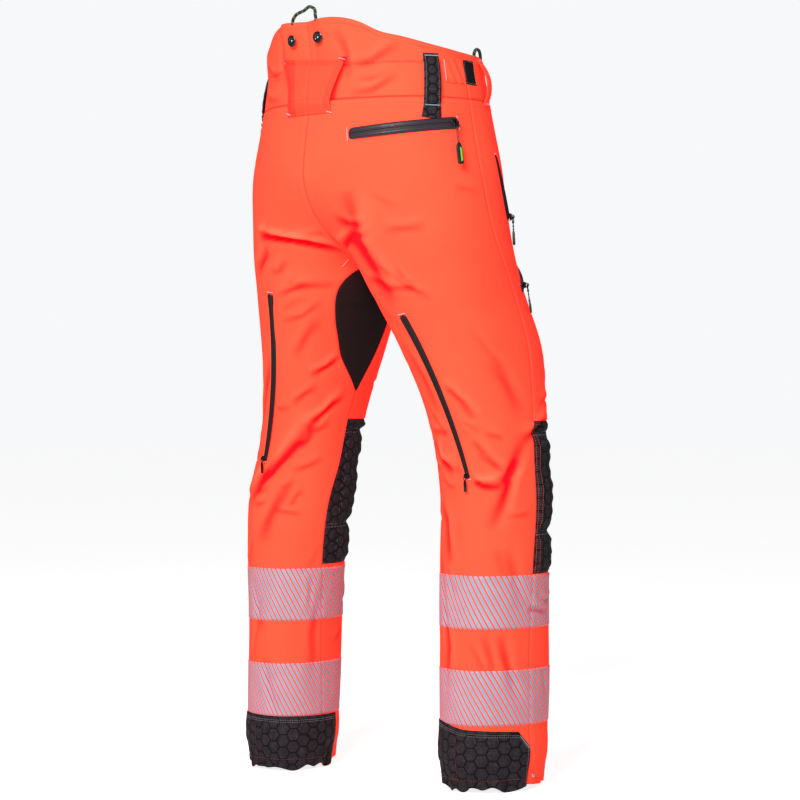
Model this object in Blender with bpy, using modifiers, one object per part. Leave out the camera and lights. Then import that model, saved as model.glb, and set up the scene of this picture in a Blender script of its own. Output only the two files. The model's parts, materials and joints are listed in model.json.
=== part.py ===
"""Hi-vis chainsaw trousers, standing open as they are worn.

Metres, +Z up. The front faces -Y and the wearer's right is -X. Every sub-part hangs from one empty,
so that heights below are measured from the hem, and the world's origin is the middle of the waist.

The garment is cut from one skin. A place on it is a side (+1 left, -1 right), a turn and a height:
turn 0 is the centre back seam (or the inside of the leg, below the crotch), 0.5 the hip side and
1 the centre front (or the inside of the leg again).
"""

import math

import bpy
import numpy as np
from mathutils import Matrix, Vector

# ---------------------------------------------------------------- driving dimensions
WAIST_ORIGIN = (0.0, 0.053, 1.0)    # middle of the waist opening, measured from the hem
CROTCH_HEIGHT = 0.738
SEAT_TOP = 0.86                     # above this the two legs are one round torso
BELT_SEAM = 0.957                   # where the waistband is sewn on
CLOTH = 0.0026                      # shell cloth with its lining
SEAM_GAP = 0.0024                   # between neighbouring panels, as a length round the body
LAY_GAP = 0.0009                    # under a piece that lies along another, whose facets differ
INNER_GAP = 0.0024                  # between the shell and what hangs inside it
BAG_CLOTH = 0.0016
HEM_PATCH_TOP = 0.084
KNEE_BOTTOM, KNEE_TOP = 0.3005, 0.512
BAND_WIDTH = 0.075
BAND_BOTTOMS = {"lower": 0.0885, "upper": 0.2215}
PAD_BOTTOM, PAD_TOP = 0.055, 0.925
PAD_THICKNESS = 0.006
CORD_DIAMETER = 0.004
LEFT, RIGHT = 1, -1
SIDES = {"left": LEFT, "right": RIGHT}

# One leg: height, half width, half depth, middle x, middle y, half of the stride, toe-out in degrees.
LEG = np.array([
    (0.00, 0.0620, 0.0765, 0.1710, 0.020, 0.031, 10),
    (0.10, 0.0645, 0.0780, 0.1710, 0.019, 0.031, 10),
    (0.22, 0.0660, 0.0795, 0.1710, 0.017, 0.030, 10),
    (0.32, 0.0700, 0.0775, 0.1710, 0.014, 0.029, 9),
    (0.40, 0.0735, 0.0745, 0.1680, 0.010, 0.028, 8),
    (0.47, 0.0740, 0.0790, 0.1580, 0.006, 0.026, 8),
    (0.54, 0.0760, 0.0930, 0.1460, 0.004, 0.024, 7),
    (0.62, 0.0870, 0.1090, 0.1270, 0.009, 0.021, 6),
    (0.70, 0.0990, 0.1220, 0.1070, 0.024, 0.017, 4),
    (0.76, 0.1035, 0.1290, 0.1055, 0.036, 0.010, 2),
    (0.86, 0.1040, 0.1330, 0.1060, 0.045, 0.000, 0),
])
# The left leg is drawn slimmer by its stance: height, width factor.
LEFT_SLIM = np.array([
    (0.00, 0.96), (0.25, 0.96), (0.33, 0.99), (0.40, 1.00), (0.47, 0.94),
    (0.62, 0.93), (0.72, 0.95), (0.86, 1.00),
])
# Torso: height, half width, depth to the back, depth to the front, middle y.
TORSO = np.array([
    (0.70, 0.204, 0.142, 0.128, 0.037),
    (0.78, 0.205, 0.150, 0.130, 0.039),
    (0.86, 0.201, 0.152, 0.130, 0.043),
    (0.93, 0.187, 0.139, 0.124, 0.047),
    (1.00, 0.173, 0.125, 0.118, 0.051),
    (1.04, 0.170, 0.129, 0.116, 0.053),
    (1.10, 0.169, 0.140, 0.115, 0.054),
])
# Top edge of the waistband, high at the back: turn, height.
WAIST_TOP = np.array([
    (0.00, 1.068), (0.10, 1.070), (0.16, 1.062), (0.22, 1.047), (0.28, 1.040),
    (0.36, 1.031), (0.50, 1.022), (0.62, 1.020), (1.00, 1.010),
])
# Seams: height, turn.
SIDE_SEAM = np.array([
    (0.00, 0.530), (0.30, 0.525), (0.45, 0.535), (0.60, 0.550), (0.72, 0.550),
    (0.78, 0.515), (0.87, 0.487), (0.95, 0.495), (1.10, 0.510),
])
INSIDE_SEAM = np.array([
    (0.00, 0.025), (0.10, 0.028), (0.25, 0.040), (0.32, 0.052), (0.40, 0.045),
    (0.45, 0.018), (0.51, 0.004), (0.552, -0.005),
])
ROWS = (0.05, 0.1, 0.16, 0.22, 0.26, 0.3, 0.325, 0.35, 0.375, 0.4, 0.425, 0.45, 0.48, 0.51, 0.552, 0.58,
        0.607, 0.63, 0.653, 0.68, 0.706, 0.72, 0.733, 0.7475, 0.76, 0.79, 0.83, 0.87, 0.91)
GUSSET_TIP, GUSSET_APEX = 0.552, 0.748
GUSSET_GAP = 0.0095                  # a turn: its slanting edges need more room than an upright seam
GUSSET_BACK = np.array([
    (0.552, -0.005), (0.606, 0.075), (0.630, 0.090), (0.656, 0.103), (0.712, 0.092), (0.748, 0.0),
])
GUSSET_FRONT = np.array([
    (0.552, -0.005), (0.608, -0.045), (0.650, -0.066), (0.700, -0.062), (0.748, 0.0),
])

HIVIS = ("hivis_shell", (0.93, 0.085, 0.035), 0.62, 0.0)
STRETCH = ("stretch_fabric", (0.012, 0.008, 0.009), 0.85, 0.0)
HEX = ("hex_panel", (0.028, 0.022, 0.028), 0.7, 0.0)
REFLECT = ("reflective_tape", (0.42, 0.48, 0.56), 0.35, 0.0)
TAPE = ("zip_tape", (0.045, 0.036, 0.045), 0.38, 0.0)
ZIP_METAL = ("zip_metal", (0.035, 0.035, 0.04), 0.35, 0.9)
RUBBER = ("pull_rubber", (0.012, 0.012, 0.013), 0.6, 0.0)
WEBBING = ("webbing", (0.03, 0.026, 0.03), 0.7, 0.0)
HOOK_LOOP = ("hook_and_loop", (0.01, 0.01, 0.011), 0.95, 0.0)
BUTTON = ("gloss_button", (0.01, 0.01, 0.012), 0.2, 0.0)
CORD = ("flecked_cord", (0.02, 0.03, 0.012), 0.6, 0.0)
LINING = ("pocket_lining", (0.06, 0.055, 0.06), 0.8, 0.0)
PAD = ("protective_pad", (0.72, 0.70, 0.62), 0.9, 0.0)


# ---------------------------------------------------------------- the skin
def spline(table, at):
    """Smooth curve through a table's rows, whose first column is the place along it."""
    x, y = table[:, 0], table[:, 1:]
    at = np.clip(np.asarray(at, float), x[0], x[-1])
    slope = np.gradient(y, x, axis=0)
    i = np.clip(np.searchsorted(x, at, side="right") - 1, 0, len(x) - 2)
    h = (x[i + 1] - x[i])[..., None]
    t = (at - x[i])[..., None] / h
    return (
        (2 * t**3 - 3 * t**2 + 1) * y[i] + (t**3 - 2 * t**2 + t) * h * slope[i]
        + (3 * t**2 - 2 * t**3) * y[i + 1] + (t**3 - t**2) * h * slope[i + 1]
    )


def oval(angle, roundness):
    """Point on a unit superellipse, as (sine, cosine) parts."""
    s, c = np.sin(angle), np.cos(angle)
    r = (np.abs(s) ** roundness + np.abs(c) ** roundness) ** (-1 / roundness)
    return s * r, c * r


def skin(side, turn, height):
    """Points on the outside of the garment."""
    turn, height = np.broadcast_arrays(np.asarray(turn, float), np.asarray(height, float))
    half_x, half_y, mid_x, mid_y, stride, toe = np.moveaxis(spline(LEG, height), -1, 0)
    if side == LEFT:
        slim = spline(LEFT_SLIM, height)[..., 0]
        half_x, half_y = half_x * slim, half_y * slim
    out, back = oval(2 * np.pi * turn - np.pi / 2, 2.15)
    out, back, toe = out * half_x, back * half_y, np.radians(toe)
    leg_x = mid_x + out * np.cos(toe) - back * np.sin(toe)
    leg_y = mid_y + side * stride + back * np.cos(toe) + out * np.sin(toe)
    half, to_back, to_front, torso_y = np.moveaxis(spline(TORSO, height), -1, 0)
    across, along = oval(np.pi * turn, 2.2)
    body_x = half * across
    body_y = torso_y + np.where(along > 0, to_back, to_front) * along
    # Near the centre seams the crotch is a round bottom; elsewhere the thigh runs smoothly into the seat.
    seam = np.cos(np.pi * turn) ** 4
    low = CROTCH_HEIGHT - 0.14 * (1 - seam)
    w = np.clip((height - low) / (SEAT_TOP - low), 0, 1)
    mix = seam * np.sqrt(1 - (1 - w) ** 2) + (1 - seam) * w * w * (3 - 2 * w)
    x = leg_x + (body_x - leg_x) * mix
    y = leg_y + (body_y - leg_y) * mix
    return np.stack([side * x, y, height], -1)


def outward(side, turn, height):
    """Unit normals of the skin."""
    step = 0.004
    round_it = skin(side, turn + step, height) - skin(side, turn - step, height)
    up = skin(side, turn, height + step) - skin(side, turn, height - step)
    n = np.cross(round_it, up) * -side
    return n / np.linalg.norm(n, axis=-1, keepdims=True)


def lifted(side, turn, height, lift):
    """Points at a distance off the skin, outwards if it is positive."""
    turn, height, lift = np.broadcast_arrays(turn, height, lift)
    return skin(side, turn, height) + outward(side, turn, height) * lift[..., None]


def turn_gap(height):
    """SEAM_GAP as a turn: the way round is longer at the hips than at the hem."""
    return SEAM_GAP / np.interp(height, (0.0, 0.5, 0.72), (0.44, 0.53, 0.66))


def rows_between(bottom, top):
    """Heights of a panel's rows. Neighbours share them, so that their edges keep to each other."""
    inside = [z for z in ROWS if bottom + 0.004 < z < top - 0.004]
    return [bottom, *inside, top]


def side_seam(height):
    return spline(SIDE_SEAM, height)[..., 0]


def back_edge(height):
    """Turn where the back panel begins: the inside seam, then the gusset, then the centre seam."""
    height = np.asarray(height, float)
    gusset = np.interp(height, GUSSET_BACK[:, 0], GUSSET_BACK[:, 1])
    inside = spline(INSIDE_SEAM, height)[..., 0]
    return np.where(height < GUSSET_TIP, inside, np.where(height < GUSSET_APEX, gusset + GUSSET_GAP, 0.0))


def front_edge(height):
    """Turn where the front panels end."""
    height = np.asarray(height, float)
    gusset = np.interp(height, GUSSET_FRONT[:, 0], GUSSET_FRONT[:, 1])
    inside = spline(INSIDE_SEAM, height)[..., 0]
    return 1 + np.where(height < GUSSET_TIP, inside, np.where(height < GUSSET_APEX, gusset - GUSSET_GAP, 0.0))


def waist_top(turn):
    return spline(WAIST_TOP, turn)[..., 0]


# ---------------------------------------------------------------- Blender helpers
for old in list(bpy.data.objects):
    bpy.data.objects.remove(old)
PARTS = bpy.data.collections.new("chainsaw_trousers")
CUTTERS = bpy.data.collections.new("cutters")
for collection in (PARTS, CUTTERS):
    bpy.context.scene.collection.children.link(collection)
ROOT = bpy.data.objects.new("waist_middle", None)
ROOT.location = [-c for c in WAIST_ORIGIN]
PARTS.objects.link(ROOT)


def finish_of(spec):
    """The material that (name, colour, roughness, metallic) describes, made once."""
    name, colour, roughness, metallic = spec
    material = bpy.data.materials.get(name)
    if material is None:
        material = bpy.data.materials.new(name)
        material.use_nodes = True
        shader = material.node_tree.nodes["Principled BSDF"]
        shader.inputs["Base Color"].default_value = (*colour, 1)
        shader.inputs["Roughness"].default_value = roughness
        shader.inputs["Metallic"].default_value = metallic
    return material


def add(name, data, spec, frame=None, parent=ROOT, collection=PARTS):
    """A named object holding this mesh or curve, placed under its parent."""
    thing = bpy.data.objects.new(name, data)
    collection.objects.link(thing)
    if spec:
        data.materials.append(finish_of(spec))
    thing.parent = parent
    if frame is not None:
        thing.location, thing.rotation_euler = frame.to_translation(), frame.to_euler()
    return thing


def cutter(name, data, frame, parent):
    thing = add(name, data, None, frame, parent, CUTTERS)
    thing.hide_render = True
    thing.display_type = "WIRE"
    return thing


def cloth_mesh(name, points, closed=False, flip=False):
    """A mesh over a grid of points, rows by columns, with faces turned outwards."""
    rows, cols = points.shape[:2]
    faces = []
    for r in range(rows - 1):
        for c in range(cols if closed else cols - 1):
            d = (c + 1) % cols
            quad = (r * cols + c, r * cols + d, (r + 1) * cols + d, (r + 1) * cols + c)
            faces.append(quad[::-1] if flip else quad)
    mesh = bpy.data.meshes.new(name)
    mesh.from_pydata(points.reshape(-1, 3).tolist(), [], faces)
    mesh.shade_smooth()
    return mesh


def cloth(name, points, spec, thickness=CLOTH, closed=False, side=LEFT, frame=None, parent=ROOT):
    """A piece of cloth: an open surface, given its thickness on the inside by Solidify."""
    thing = add(name, cloth_mesh(name, points, closed, flip=side == LEFT), spec, frame, parent)
    solid = thing.modifiers.new("thickness", "SOLIDIFY")
    solid.thickness = thickness
    solid.offset = -1
    return thing


def panel(name, side, spec, edges, heights, cols, lift=0.0, thickness=CLOTH, closed=False):
    """Cloth cut from the skin between two turns, which edges(height) gives, at these heights."""
    heights = np.asarray(heights, float)
    share = np.linspace(0, 1, cols + 1)[:-1] if closed else np.linspace(0, 1, cols)
    first, last = edges(heights)
    turns = first[:, None] + (last - first)[:, None] * share
    points = lifted(side, turns, heights[:, None], lift)
    return cloth(name, points, spec, thickness, closed, side)


def wrap(name, spec, reach, bottom, top, cols, rows, lift, thickness):
    """Cloth across the centre back: reach is its turn to either side, bottom and top give heights."""
    signed = np.linspace(-reach, reach, cols)
    share = np.linspace(0, 1, rows)
    points = np.empty((rows, cols, 3))
    for c, s in enumerate(signed):
        low, high = bottom(abs(s)), top(abs(s))
        heights = low + (high - low) * share
        side = LEFT if s >= 0 else RIGHT
        points[:, c] = lifted(side, abs(s), heights, lift(s / reach, share))
    return cloth(name, points, spec, thickness, side=LEFT)


def block(name, size, centre=(0, 0, 0)):
    """A box's mesh, from its size and the middle of it."""
    mesh = bpy.data.meshes.new(name)
    x, y, z = (s / 2 for s in size)
    corners = [(i * x, j * y, k * z) for k in (-1, 1) for j in (-1, 1) for i in (-1, 1)]
    faces = [(0, 2, 3, 1), (4, 5, 7, 6), (0, 1, 5, 4), (2, 6, 7, 3), (0, 4, 6, 2), (1, 3, 7, 5)]
    mesh.from_pydata([tuple(a + b for a, b in zip(c, centre)) for c in corners], [], faces)
    return mesh


def cut(thing, tool, operation):
    boolean = thing.modifiers.new(tool.name, "BOOLEAN")
    boolean.operation = operation
    boolean.object = tool


def frame_at(origin, x_axis, z_axis):
    """A right-handed frame there, with its z as given and its x as near as can be."""
    z = Vector(z_axis).normalized()
    y = z.cross(Vector(x_axis)).normalized()
    x = y.cross(z)
    return Matrix.Translation(Vector(origin)) @ Matrix((x, y, z)).transposed().to_4x4()


# ---------------------------------------------------------------- shell
def make_gusset():
    """The stretch diamond: over the crotch from back to front, and down the inside of both thighs."""
    across = np.linspace(-1, 1, 11)          # -1 at the front edge, +1 at the back edge
    down = np.array([0.0, 0.03, 0.09, 0.18, 0.3, 0.44, 0.6, 0.78, 0.95])
    rows = []
    for signed in [-d for d in down[:0:-1]] + list(down):
        side = LEFT if signed >= 0 else RIGHT
        middle = CROTCH_HEIGHT + abs(signed) * (GUSSET_TIP - CROTCH_HEIGHT)
        edge = GUSSET_APEX + abs(signed) * (GUSSET_TIP - GUSSET_APEX)
        heights = middle + (edge - middle) * across**2
        widths = np.where(
            across > 0,
            np.interp(edge, GUSSET_BACK[:, 0], GUSSET_BACK[:, 1]),
            np.interp(edge, GUSSET_FRONT[:, 0], GUSSET_FRONT[:, 1]),
        )
        turns = np.abs(across) * widths + (across < 0)
        row = lifted(side, turns, heights, 0.0)
        if signed == 0:
            row[:, 0] = 0
        rows.append(row)
    cloth("crotch_gusset", np.array(rows), STRETCH, side=RIGHT)


def make_shell():
    gap = turn_gap
    fronts = (("front_thigh", KNEE_TOP + 0.0015, BELT_SEAM, HIVIS),
              ("knee_panel", KNEE_BOTTOM, KNEE_TOP, HEX),
              ("front_shin", 0.0, KNEE_BOTTOM - 0.0015, HIVIS))
    for word, side in SIDES.items():
        panel(f"back_leg_{word}", side, HIVIS,
              lambda z: (back_edge(z) + gap(z) / 2, side_seam(z) - gap(z) / 2),
              rows_between(0.0, BELT_SEAM), 13)
        for name, bottom, top, spec in fronts:
            panel(f"{name}_{word}", side, spec,
                  lambda z: (side_seam(z) + gap(z) / 2, front_edge(z) - gap(z) / 2),
                  rows_between(bottom, top), 13)
        panel(f"hem_patch_{word}", side, HEX, lambda z: (0 * z - 0.05, side_seam(z)),
              np.linspace(0.0, HEM_PATCH_TOP, 3), 20, lift=0.002 + LAY_GAP, thickness=0.002)
        for place, bottom in BAND_BOTTOMS.items():
            panel(f"{place}_band_{word}", side, REFLECT, lambda z: (0 * z, 0 * z + 1),
                  np.linspace(bottom, bottom + BAND_WIDTH, 2), 30,
                  lift=0.001 + LAY_GAP, thickness=0.001, closed=True)


def make_waistband():
    """A high elastic back, and a front on each side."""
    bottom = BELT_SEAM + 0.0012
    wrap("waistband_back", HIVIS, 0.49, lambda s: bottom, waist_top, 27, 5,
         lambda s, share: 0 * share, CLOTH)
    for word, side in SIDES.items():
        turns = np.linspace(0.493, 0.994, 13)
        share = np.linspace(0, 1, 4)[:, None]
        heights = bottom + (waist_top(turns) - bottom) * share
        points = lifted(side, np.broadcast_to(turns, heights.shape), heights, 0.0)
        cloth(f"waistband_{word}", points, HIVIS, side=side)


def make_pads():
    """The saw-stopping packs, loose inside the front of each leg."""
    for word, side in SIDES.items():
        panel(f"protective_pad_{word}", side, PAD,
              lambda z: (0.585 + 0 * z, 0.90 + 0 * z), np.linspace(PAD_BOTTOM, PAD_TOP, 17), 8,
              lift=-CLOTH - INNER_GAP - BAG_CLOTH - INNER_GAP, thickness=PAD_THICKNESS)


def make_pocket_bags():
    """Flat bags between the shell and the pads."""
    bags = {
        "back_pocket_bag": (RIGHT, 0.13, 0.42, 0.775, 0.905),
        "hand_pocket_bag_left": (LEFT, 0.60, 0.82, 0.715, 0.88),
        "hand_pocket_bag_right": (RIGHT, 0.60, 0.82, 0.745, 0.88),
        "thigh_pocket_bag": (RIGHT, 0.60, 0.78, 0.57, 0.74),
    }
    for name, (side, first, last, bottom, top) in bags.items():
        panel(name, side, LINING, lambda z: (first + 0 * z, last + 0 * z),
              np.linspace(bottom, top, 7), 8, lift=-CLOTH - INNER_GAP, thickness=BAG_CLOTH)


# ---------------------------------------------------------------- belt loops, tabs, buttons, cords
def raised(share, standoff):
    """Height of a sewn loop off the cloth, from one sewn end to the other."""
    return 0.003 + standoff * np.sin(np.pi * np.clip(share, 0, 1)) ** 0.7


def make_belt_loops():
    wrap("back_belt_loop", HIVIS, 0.088, lambda s: 0.938, lambda s: 1.014, 9, 9,
         lambda s, share: raised(share, 0.007) + 0.0004, 0.0016)
    loops = (("webbing_loop", WEBBING, 0.357, 0.942, 1.016, 0.026, 0.006),
             ("side_belt_loop", HIVIS, 0.600, 0.950, 1.016, 0.020, 0.011))
    for word, side in SIDES.items():
        for name, spec, turn, bottom, top, width, standoff in loops:
            heights = np.linspace(bottom, top, 11)[:, None]
            across = turn + np.linspace(-0.5, 0.5, 3) * width / 0.5
            lift = raised((heights - bottom) / (top - bottom), standoff)
            points = lifted(side, np.broadcast_to(across, (11, 3)), heights, lift)
            cloth(f"{name}_{word}", points, spec, 0.0016, side=side)


def make_waist_tabs():
    """The hook-and-loop tabs that take in the waist, each hinged on the stitching at its rear end."""
    for word, side in SIDES.items():
        heights = np.linspace(0.977, 1.012, 3)[:, None]
        root = frame_at(lifted(side, 0.402, 0.9945, 0.002), (1, 0, 0), (0, 0, 1))
        turns = np.linspace(0.402, 0.492, 6)
        points = lifted(side, np.broadcast_to(turns, (3, 6)), heights, 0.0026)
        place = Matrix.Translation(root.to_translation())
        points = points - np.array(place.to_translation())
        cloth(f"waist_tab_{word}", points, HIVIS, 0.002, side=side, frame=place)
        turns = np.linspace(0.502, 0.556, 4)
        points = lifted(side, np.broadcast_to(turns, (3, 4)), heights, 0.0016)
        cloth(f"tab_loop_patch_{word}", points, HOOK_LOOP, 0.0012, side=side)


def turned(name, profile, spec, frame, steps=14):
    """A round piece: profile points (radius, along) from the top down, spun about the frame's z."""
    mesh = bpy.data.meshes.new(name)
    edges = [(i, i + 1) for i in range(len(profile) - 1)]
    mesh.from_pydata([(r, 0, z) for r, z in profile], edges, [])
    thing = add(name, mesh, spec, frame)
    screw = thing.modifiers.new("turn", "SCREW")
    screw.steps = screw.render_steps = steps
    screw.use_merge_vertices = True
    screw.merge_threshold = 0.00001
    screw.use_smooth_shade = False
    return thing


def make_buttons():
    """Brace buttons: a flat disc on a short shank, and the press stud that closes the waist."""
    disc = [(0, 0.0058), (0.0066, 0.0058), (0.0084, 0.0048), (0.0084, 0.0036), (0.0030, 0.0030),
            (0.0030, 0.0004), (0, 0.0004)]
    stud = [(0, 0.0042), (0.0058, 0.0042), (0.0072, 0.0034), (0.0072, 0.0004), (0, 0.0004)]
    places = {
        "back_brace_button": (0.0475, 1.045),
        "front_brace_button": (0.870, 0.985),
    }
    for name, (turn, height) in places.items():
        for word, side in SIDES.items():
            frame = frame_at(skin(side, turn, height), (1, 0, 0), outward(side, turn, height))
            turned(f"{name}_{word}", disc, BUTTON, frame)
    frame = frame_at(skin(LEFT, 0.968, 0.985), (1, 0, 0), outward(LEFT, 0.968, 0.985))
    turned("waist_stud", stud, BUTTON, frame)


def tube(name, route, spec, diameter):
    """A cord through a smooth curve's points."""
    curve = bpy.data.curves.new(name, "CURVE")
    curve.dimensions = "3D"
    curve.bevel_depth = diameter / 2
    curve.bevel_resolution = 2
    curve.use_fill_caps = True
    line = curve.splines.new("POLY")
    line.points.add(len(route) - 1)
    for point, place in zip(line.points, route):
        point.co = (*place, 1)
    return add(name, curve, spec)


def smooth_route(stops, count):
    """Points along a smooth curve through the stops."""
    stops = np.asarray(stops, float)
    reach = np.concatenate([[0], np.cumsum(np.linalg.norm(np.diff(stops, axis=0), axis=1))])
    table = np.column_stack([reach, stops])
    return spline(table, np.linspace(0, reach[-1], count))


def make_cords():
    """Short cord loops that stand up from the top edge of the waistband."""
    def stop(side, turn, rise):
        height = float(waist_top(turn)) + 0.0005
        point = skin(side, turn, height) - outward(side, turn, height) * CLOTH / 2
        return point + np.array([0, 0, rise])

    middle = stop(LEFT, 0.0, 0)
    back = [stop(LEFT, 0.046, 0), stop(LEFT, 0.045, 0.005), stop(LEFT, 0.038, 0.011),
            middle + np.array([0.006, 0.001, 0.018]), middle + np.array([-0.004, 0.001, 0.0225]),
            middle + np.array([-0.0125, 0, 0.0185]), stop(RIGHT, 0.036, 0.008), stop(RIGHT, 0.041, 0)]
    tube("hanging_loop", smooth_route(back, 17), CORD, CORD_DIAMETER)
    front = [stop(RIGHT, 0.575, 0), stop(RIGHT, 0.577, 0.005), stop(RIGHT, 0.592, 0.0105),
             stop(RIGHT, 0.612, 0.0115), stop(RIGHT, 0.632, 0.010), stop(RIGHT, 0.646, 0.005),
             stop(RIGHT, 0.648, 0)]
    tube("glove_loop", smooth_route(front, 15), CORD, CORD_DIAMETER)


# ---------------------------------------------------------------- zips
# name, side, (turn, height) of the closed end, the same of the open end, tape width, size of its slider
ZIPS = (
    ("back_pocket", RIGHT, (0.412, 0.921), (0.140, 0.907), 0.018, 1.0),
    ("hand_pocket_left", LEFT, (0.625, 0.797), (0.588, 0.878), 0.010, 0.9),
    ("hand_pocket_right", RIGHT, (0.625, 0.797), (0.588, 0.878), 0.010, 0.9),
    ("thigh_pocket", RIGHT, (0.616, 0.702), (0.700, 0.732), 0.014, 0.9),
    ("vent_left", LEFT, (0.297, 0.455), (0.250, 0.690), 0.009, 0.7),
    ("vent_right", RIGHT, (0.315, 0.437), (0.258, 0.655), 0.009, 0.7),
    ("fly", LEFT, (1.0, 0.945), (1.0, 0.830), 0.012, 0.8),
)
TAPE_THICKNESS = 0.0014
SLIDER_CLEARANCE = 0.0007
SLIDER = (0.0080, 0.0110, 0.0030)      # across the zip, along it, and off the tape
BRIDGE = (0.0026, 0.0074, 0.0052)      # the arch on the slider: wide, long, high
BRIDGE_HOLE = (0.0034, 0.0034)         # along and high
PULL_BAR = 0.0012
PULL_THICKNESS = 0.0016


def zip_arc(side, closed, opened):
    """The circle that follows the skin from the closed end to the open end of a zip."""
    turns = closed[0] + (opened[0] - closed[0]) * np.array([0, 0.5, 1])
    heights = closed[1] + (opened[1] - closed[1]) * np.array([0, 0.5, 1])
    a, m, b = skin(side, turns, heights)
    across = np.cross(m - a, b - a)
    axis = across / np.linalg.norm(across)
    u = (b - a) / np.linalg.norm(b - a)
    v = np.cross(axis, u)
    mx, my, length = (m - a) @ u, (m - a) @ v, np.linalg.norm(b - a)
    centre = a + u * length / 2 + v * (mx * mx + my * my - length * mx) / (2 * my)
    spoke = a - centre
    sweep = math.acos(np.clip(spoke @ (b - centre) / (spoke @ spoke), -1, 1))
    if np.cross(spoke, b - centre) @ axis < 0:
        axis = -axis
    return centre, axis, spoke, sweep


def turn_about(spoke, axis, angle):
    return spoke * math.cos(angle) + np.cross(axis, spoke) * math.sin(angle)


def depth_under(side, place, at, normal):
    """How far the skin stands above this place, along the normal, near a turn and height."""
    turns, heights = np.meshgrid(at[0] + np.linspace(-0.04, 0.04, 33), at[1] + np.linspace(-0.03, 0.03, 25))
    patch = skin(side, turns, heights).reshape(-1, 3)
    aside = patch - place
    rise = aside @ normal
    aside -= rise[:, None] * normal
    return rise[np.argmin(np.linalg.norm(aside, axis=1))]


def zip_frame(side, closed, opened, width):
    """The arc of a zip, with the one upright that suits it best all along, at its closed end, and its lift."""
    centre, axis, spoke, sweep = zip_arc(side, closed, opened)
    along = np.cross(axis, spoke)
    along /= np.linalg.norm(along)
    shares = np.linspace(0, 1, 12)
    ats = [[c + (o - c) * share for c, o in zip(closed, opened)] for share in shares]
    normal = sum(turn_about(outward(side, *at), axis, -sweep * share) for share, at in zip(shares, ats))
    normal -= along * (normal @ along)
    normal /= np.linalg.norm(normal)
    over = np.cross(normal, along)
    lift = max(
        depth_under(side, centre + turn_about(spoke + over * s * width / 2, axis, sweep * share), at,
                    turn_about(normal, axis, sweep * share))
        for share, at in zip(shares, ats) for s in (-1, 0, 1)
    )
    return centre, axis, spoke, sweep, normal, over, lift + LAY_GAP + TAPE_THICKNESS


def make_zip(name, side, closed, opened, width, size):
    """A tape along the arc, a slider at its closed end, and the pull that hangs from the slider."""
    centre, axis, spoke, sweep, normal, over, lift = zip_frame(side, closed, opened, width)
    extra = 0.004 / np.linalg.norm(spoke)
    rows = [[centre + turn_about(spoke + normal * lift + over * s * width / 2, axis, angle)
             for s in (-1, 0, 1)]
            for angle in np.linspace(-extra, sweep + extra, 12)]
    cloth(f"{name}_zip_tape", np.array(rows), TAPE, TAPE_THICKNESS, side=LEFT)

    # Slider frame: x along the bar that the pull hangs from, y up the cloth, z outwards.
    place = centre + spoke
    along = np.cross(over, normal)
    seat = place + normal * (lift + SLIDER_CLEARANCE)
    level = np.cross((0, 0, 1), normal)
    frame = frame_at(seat, level, normal)
    local = np.array(frame.to_3x3()).T @ along
    spin = math.atan2(local[1], local[0]) - math.pi / 2
    body = block(f"{name}_slider", [s * size for s in SLIDER], (0, 0, SLIDER[2] * size / 2))
    body.transform(Matrix.Rotation(spin, 4, "Z"))
    slider = add(f"{name}_slider", body, ZIP_METAL, frame)
    top = SLIDER[2] * size
    arch = block(f"{name}_arch", [s * size for s in BRIDGE], (0, 0, top + BRIDGE[2] * size / 2 - 0.0002))
    hole_size = (0.01, BRIDGE_HOLE[0] * size, BRIDGE_HOLE[1] * size)
    bar_height = top + 0.0002 + hole_size[2] / 2
    hole = block(f"{name}_hole", hole_size, (0, 0, bar_height))
    cut(slider, cutter(f"{name}_arch", arch, frame, ROOT), "UNION")
    cut(slider, cutter(f"{name}_hole", hole, frame, ROOT), "DIFFERENCE")
    if name in PULL_LENGTH:
        make_pull(name, frame, bar_height, size)


def make_pull(name, frame, bar_height, size):
    """A flat pull: an eye round the arch, a neck, and a rubber tag. Its origin is on its bar."""
    long = PULL_LENGTH.get(name, 0.040)
    bar, head, neck, tag = PULL_BAR * size / 2, 0.0038 * size, 0.0011, 0.0036 * size
    eye = 0.0076 * size
    outline = [(-head, bar), (head, bar), (head, -eye), (neck, -eye - 0.002), (neck, -0.42 * long),
               (tag, -0.47 * long), (tag, -long + 0.002), (tag - 0.002, -long), (0.002 - tag, -long),
               (-tag, -long + 0.002), (-tag, -0.47 * long), (-neck, -0.42 * long), (-neck, -eye - 0.002),
               (-head, -eye)]
    half_eye = 0.0022 * size
    window = [(-half_eye, -bar), (-half_eye, -eye + 0.0012), (half_eye, -eye + 0.0012), (half_eye, -bar)]
    curve = bpy.data.curves.new(f"{name}_pull", "CURVE")
    curve.dimensions = "2D"
    curve.fill_mode = "BOTH"
    curve.extrude = PULL_THICKNESS * size / 2
    for points in (outline, window):
        line = curve.splines.new("POLY")
        line.points.add(len(points) - 1)
        line.use_cyclic_u = True
        for point, (x, y) in zip(line.points, points):
            point.co = (x, y, 0, 1)
    add(f"{name}_pull", curve, RUBBER, frame @ Matrix.Translation((0, 0, bar_height)))


PULL_LENGTH = {"back_pocket": 0.062, "hand_pocket_left": 0.040, "hand_pocket_right": 0.040,
               "thigh_pocket": 0.040, "vent_left": 0.022, "vent_right": 0.022}


make_gusset()
make_shell()
make_waistband()
make_pads()
make_pocket_bags()
make_belt_loops()
make_waist_tabs()
make_buttons()
make_cords()
for spec in ZIPS:
    make_zip(*spec)
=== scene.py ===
"""Hi-vis chainsaw trousers: the looks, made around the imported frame.

The garment is drawn in its own coordinates, as in the CAD: a side (+1 the wearer's left, -1 the right),
a turn (0 centre back or inside leg, 0.5 the hip side, 1 centre front) and a height from the hem.
"""

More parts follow.
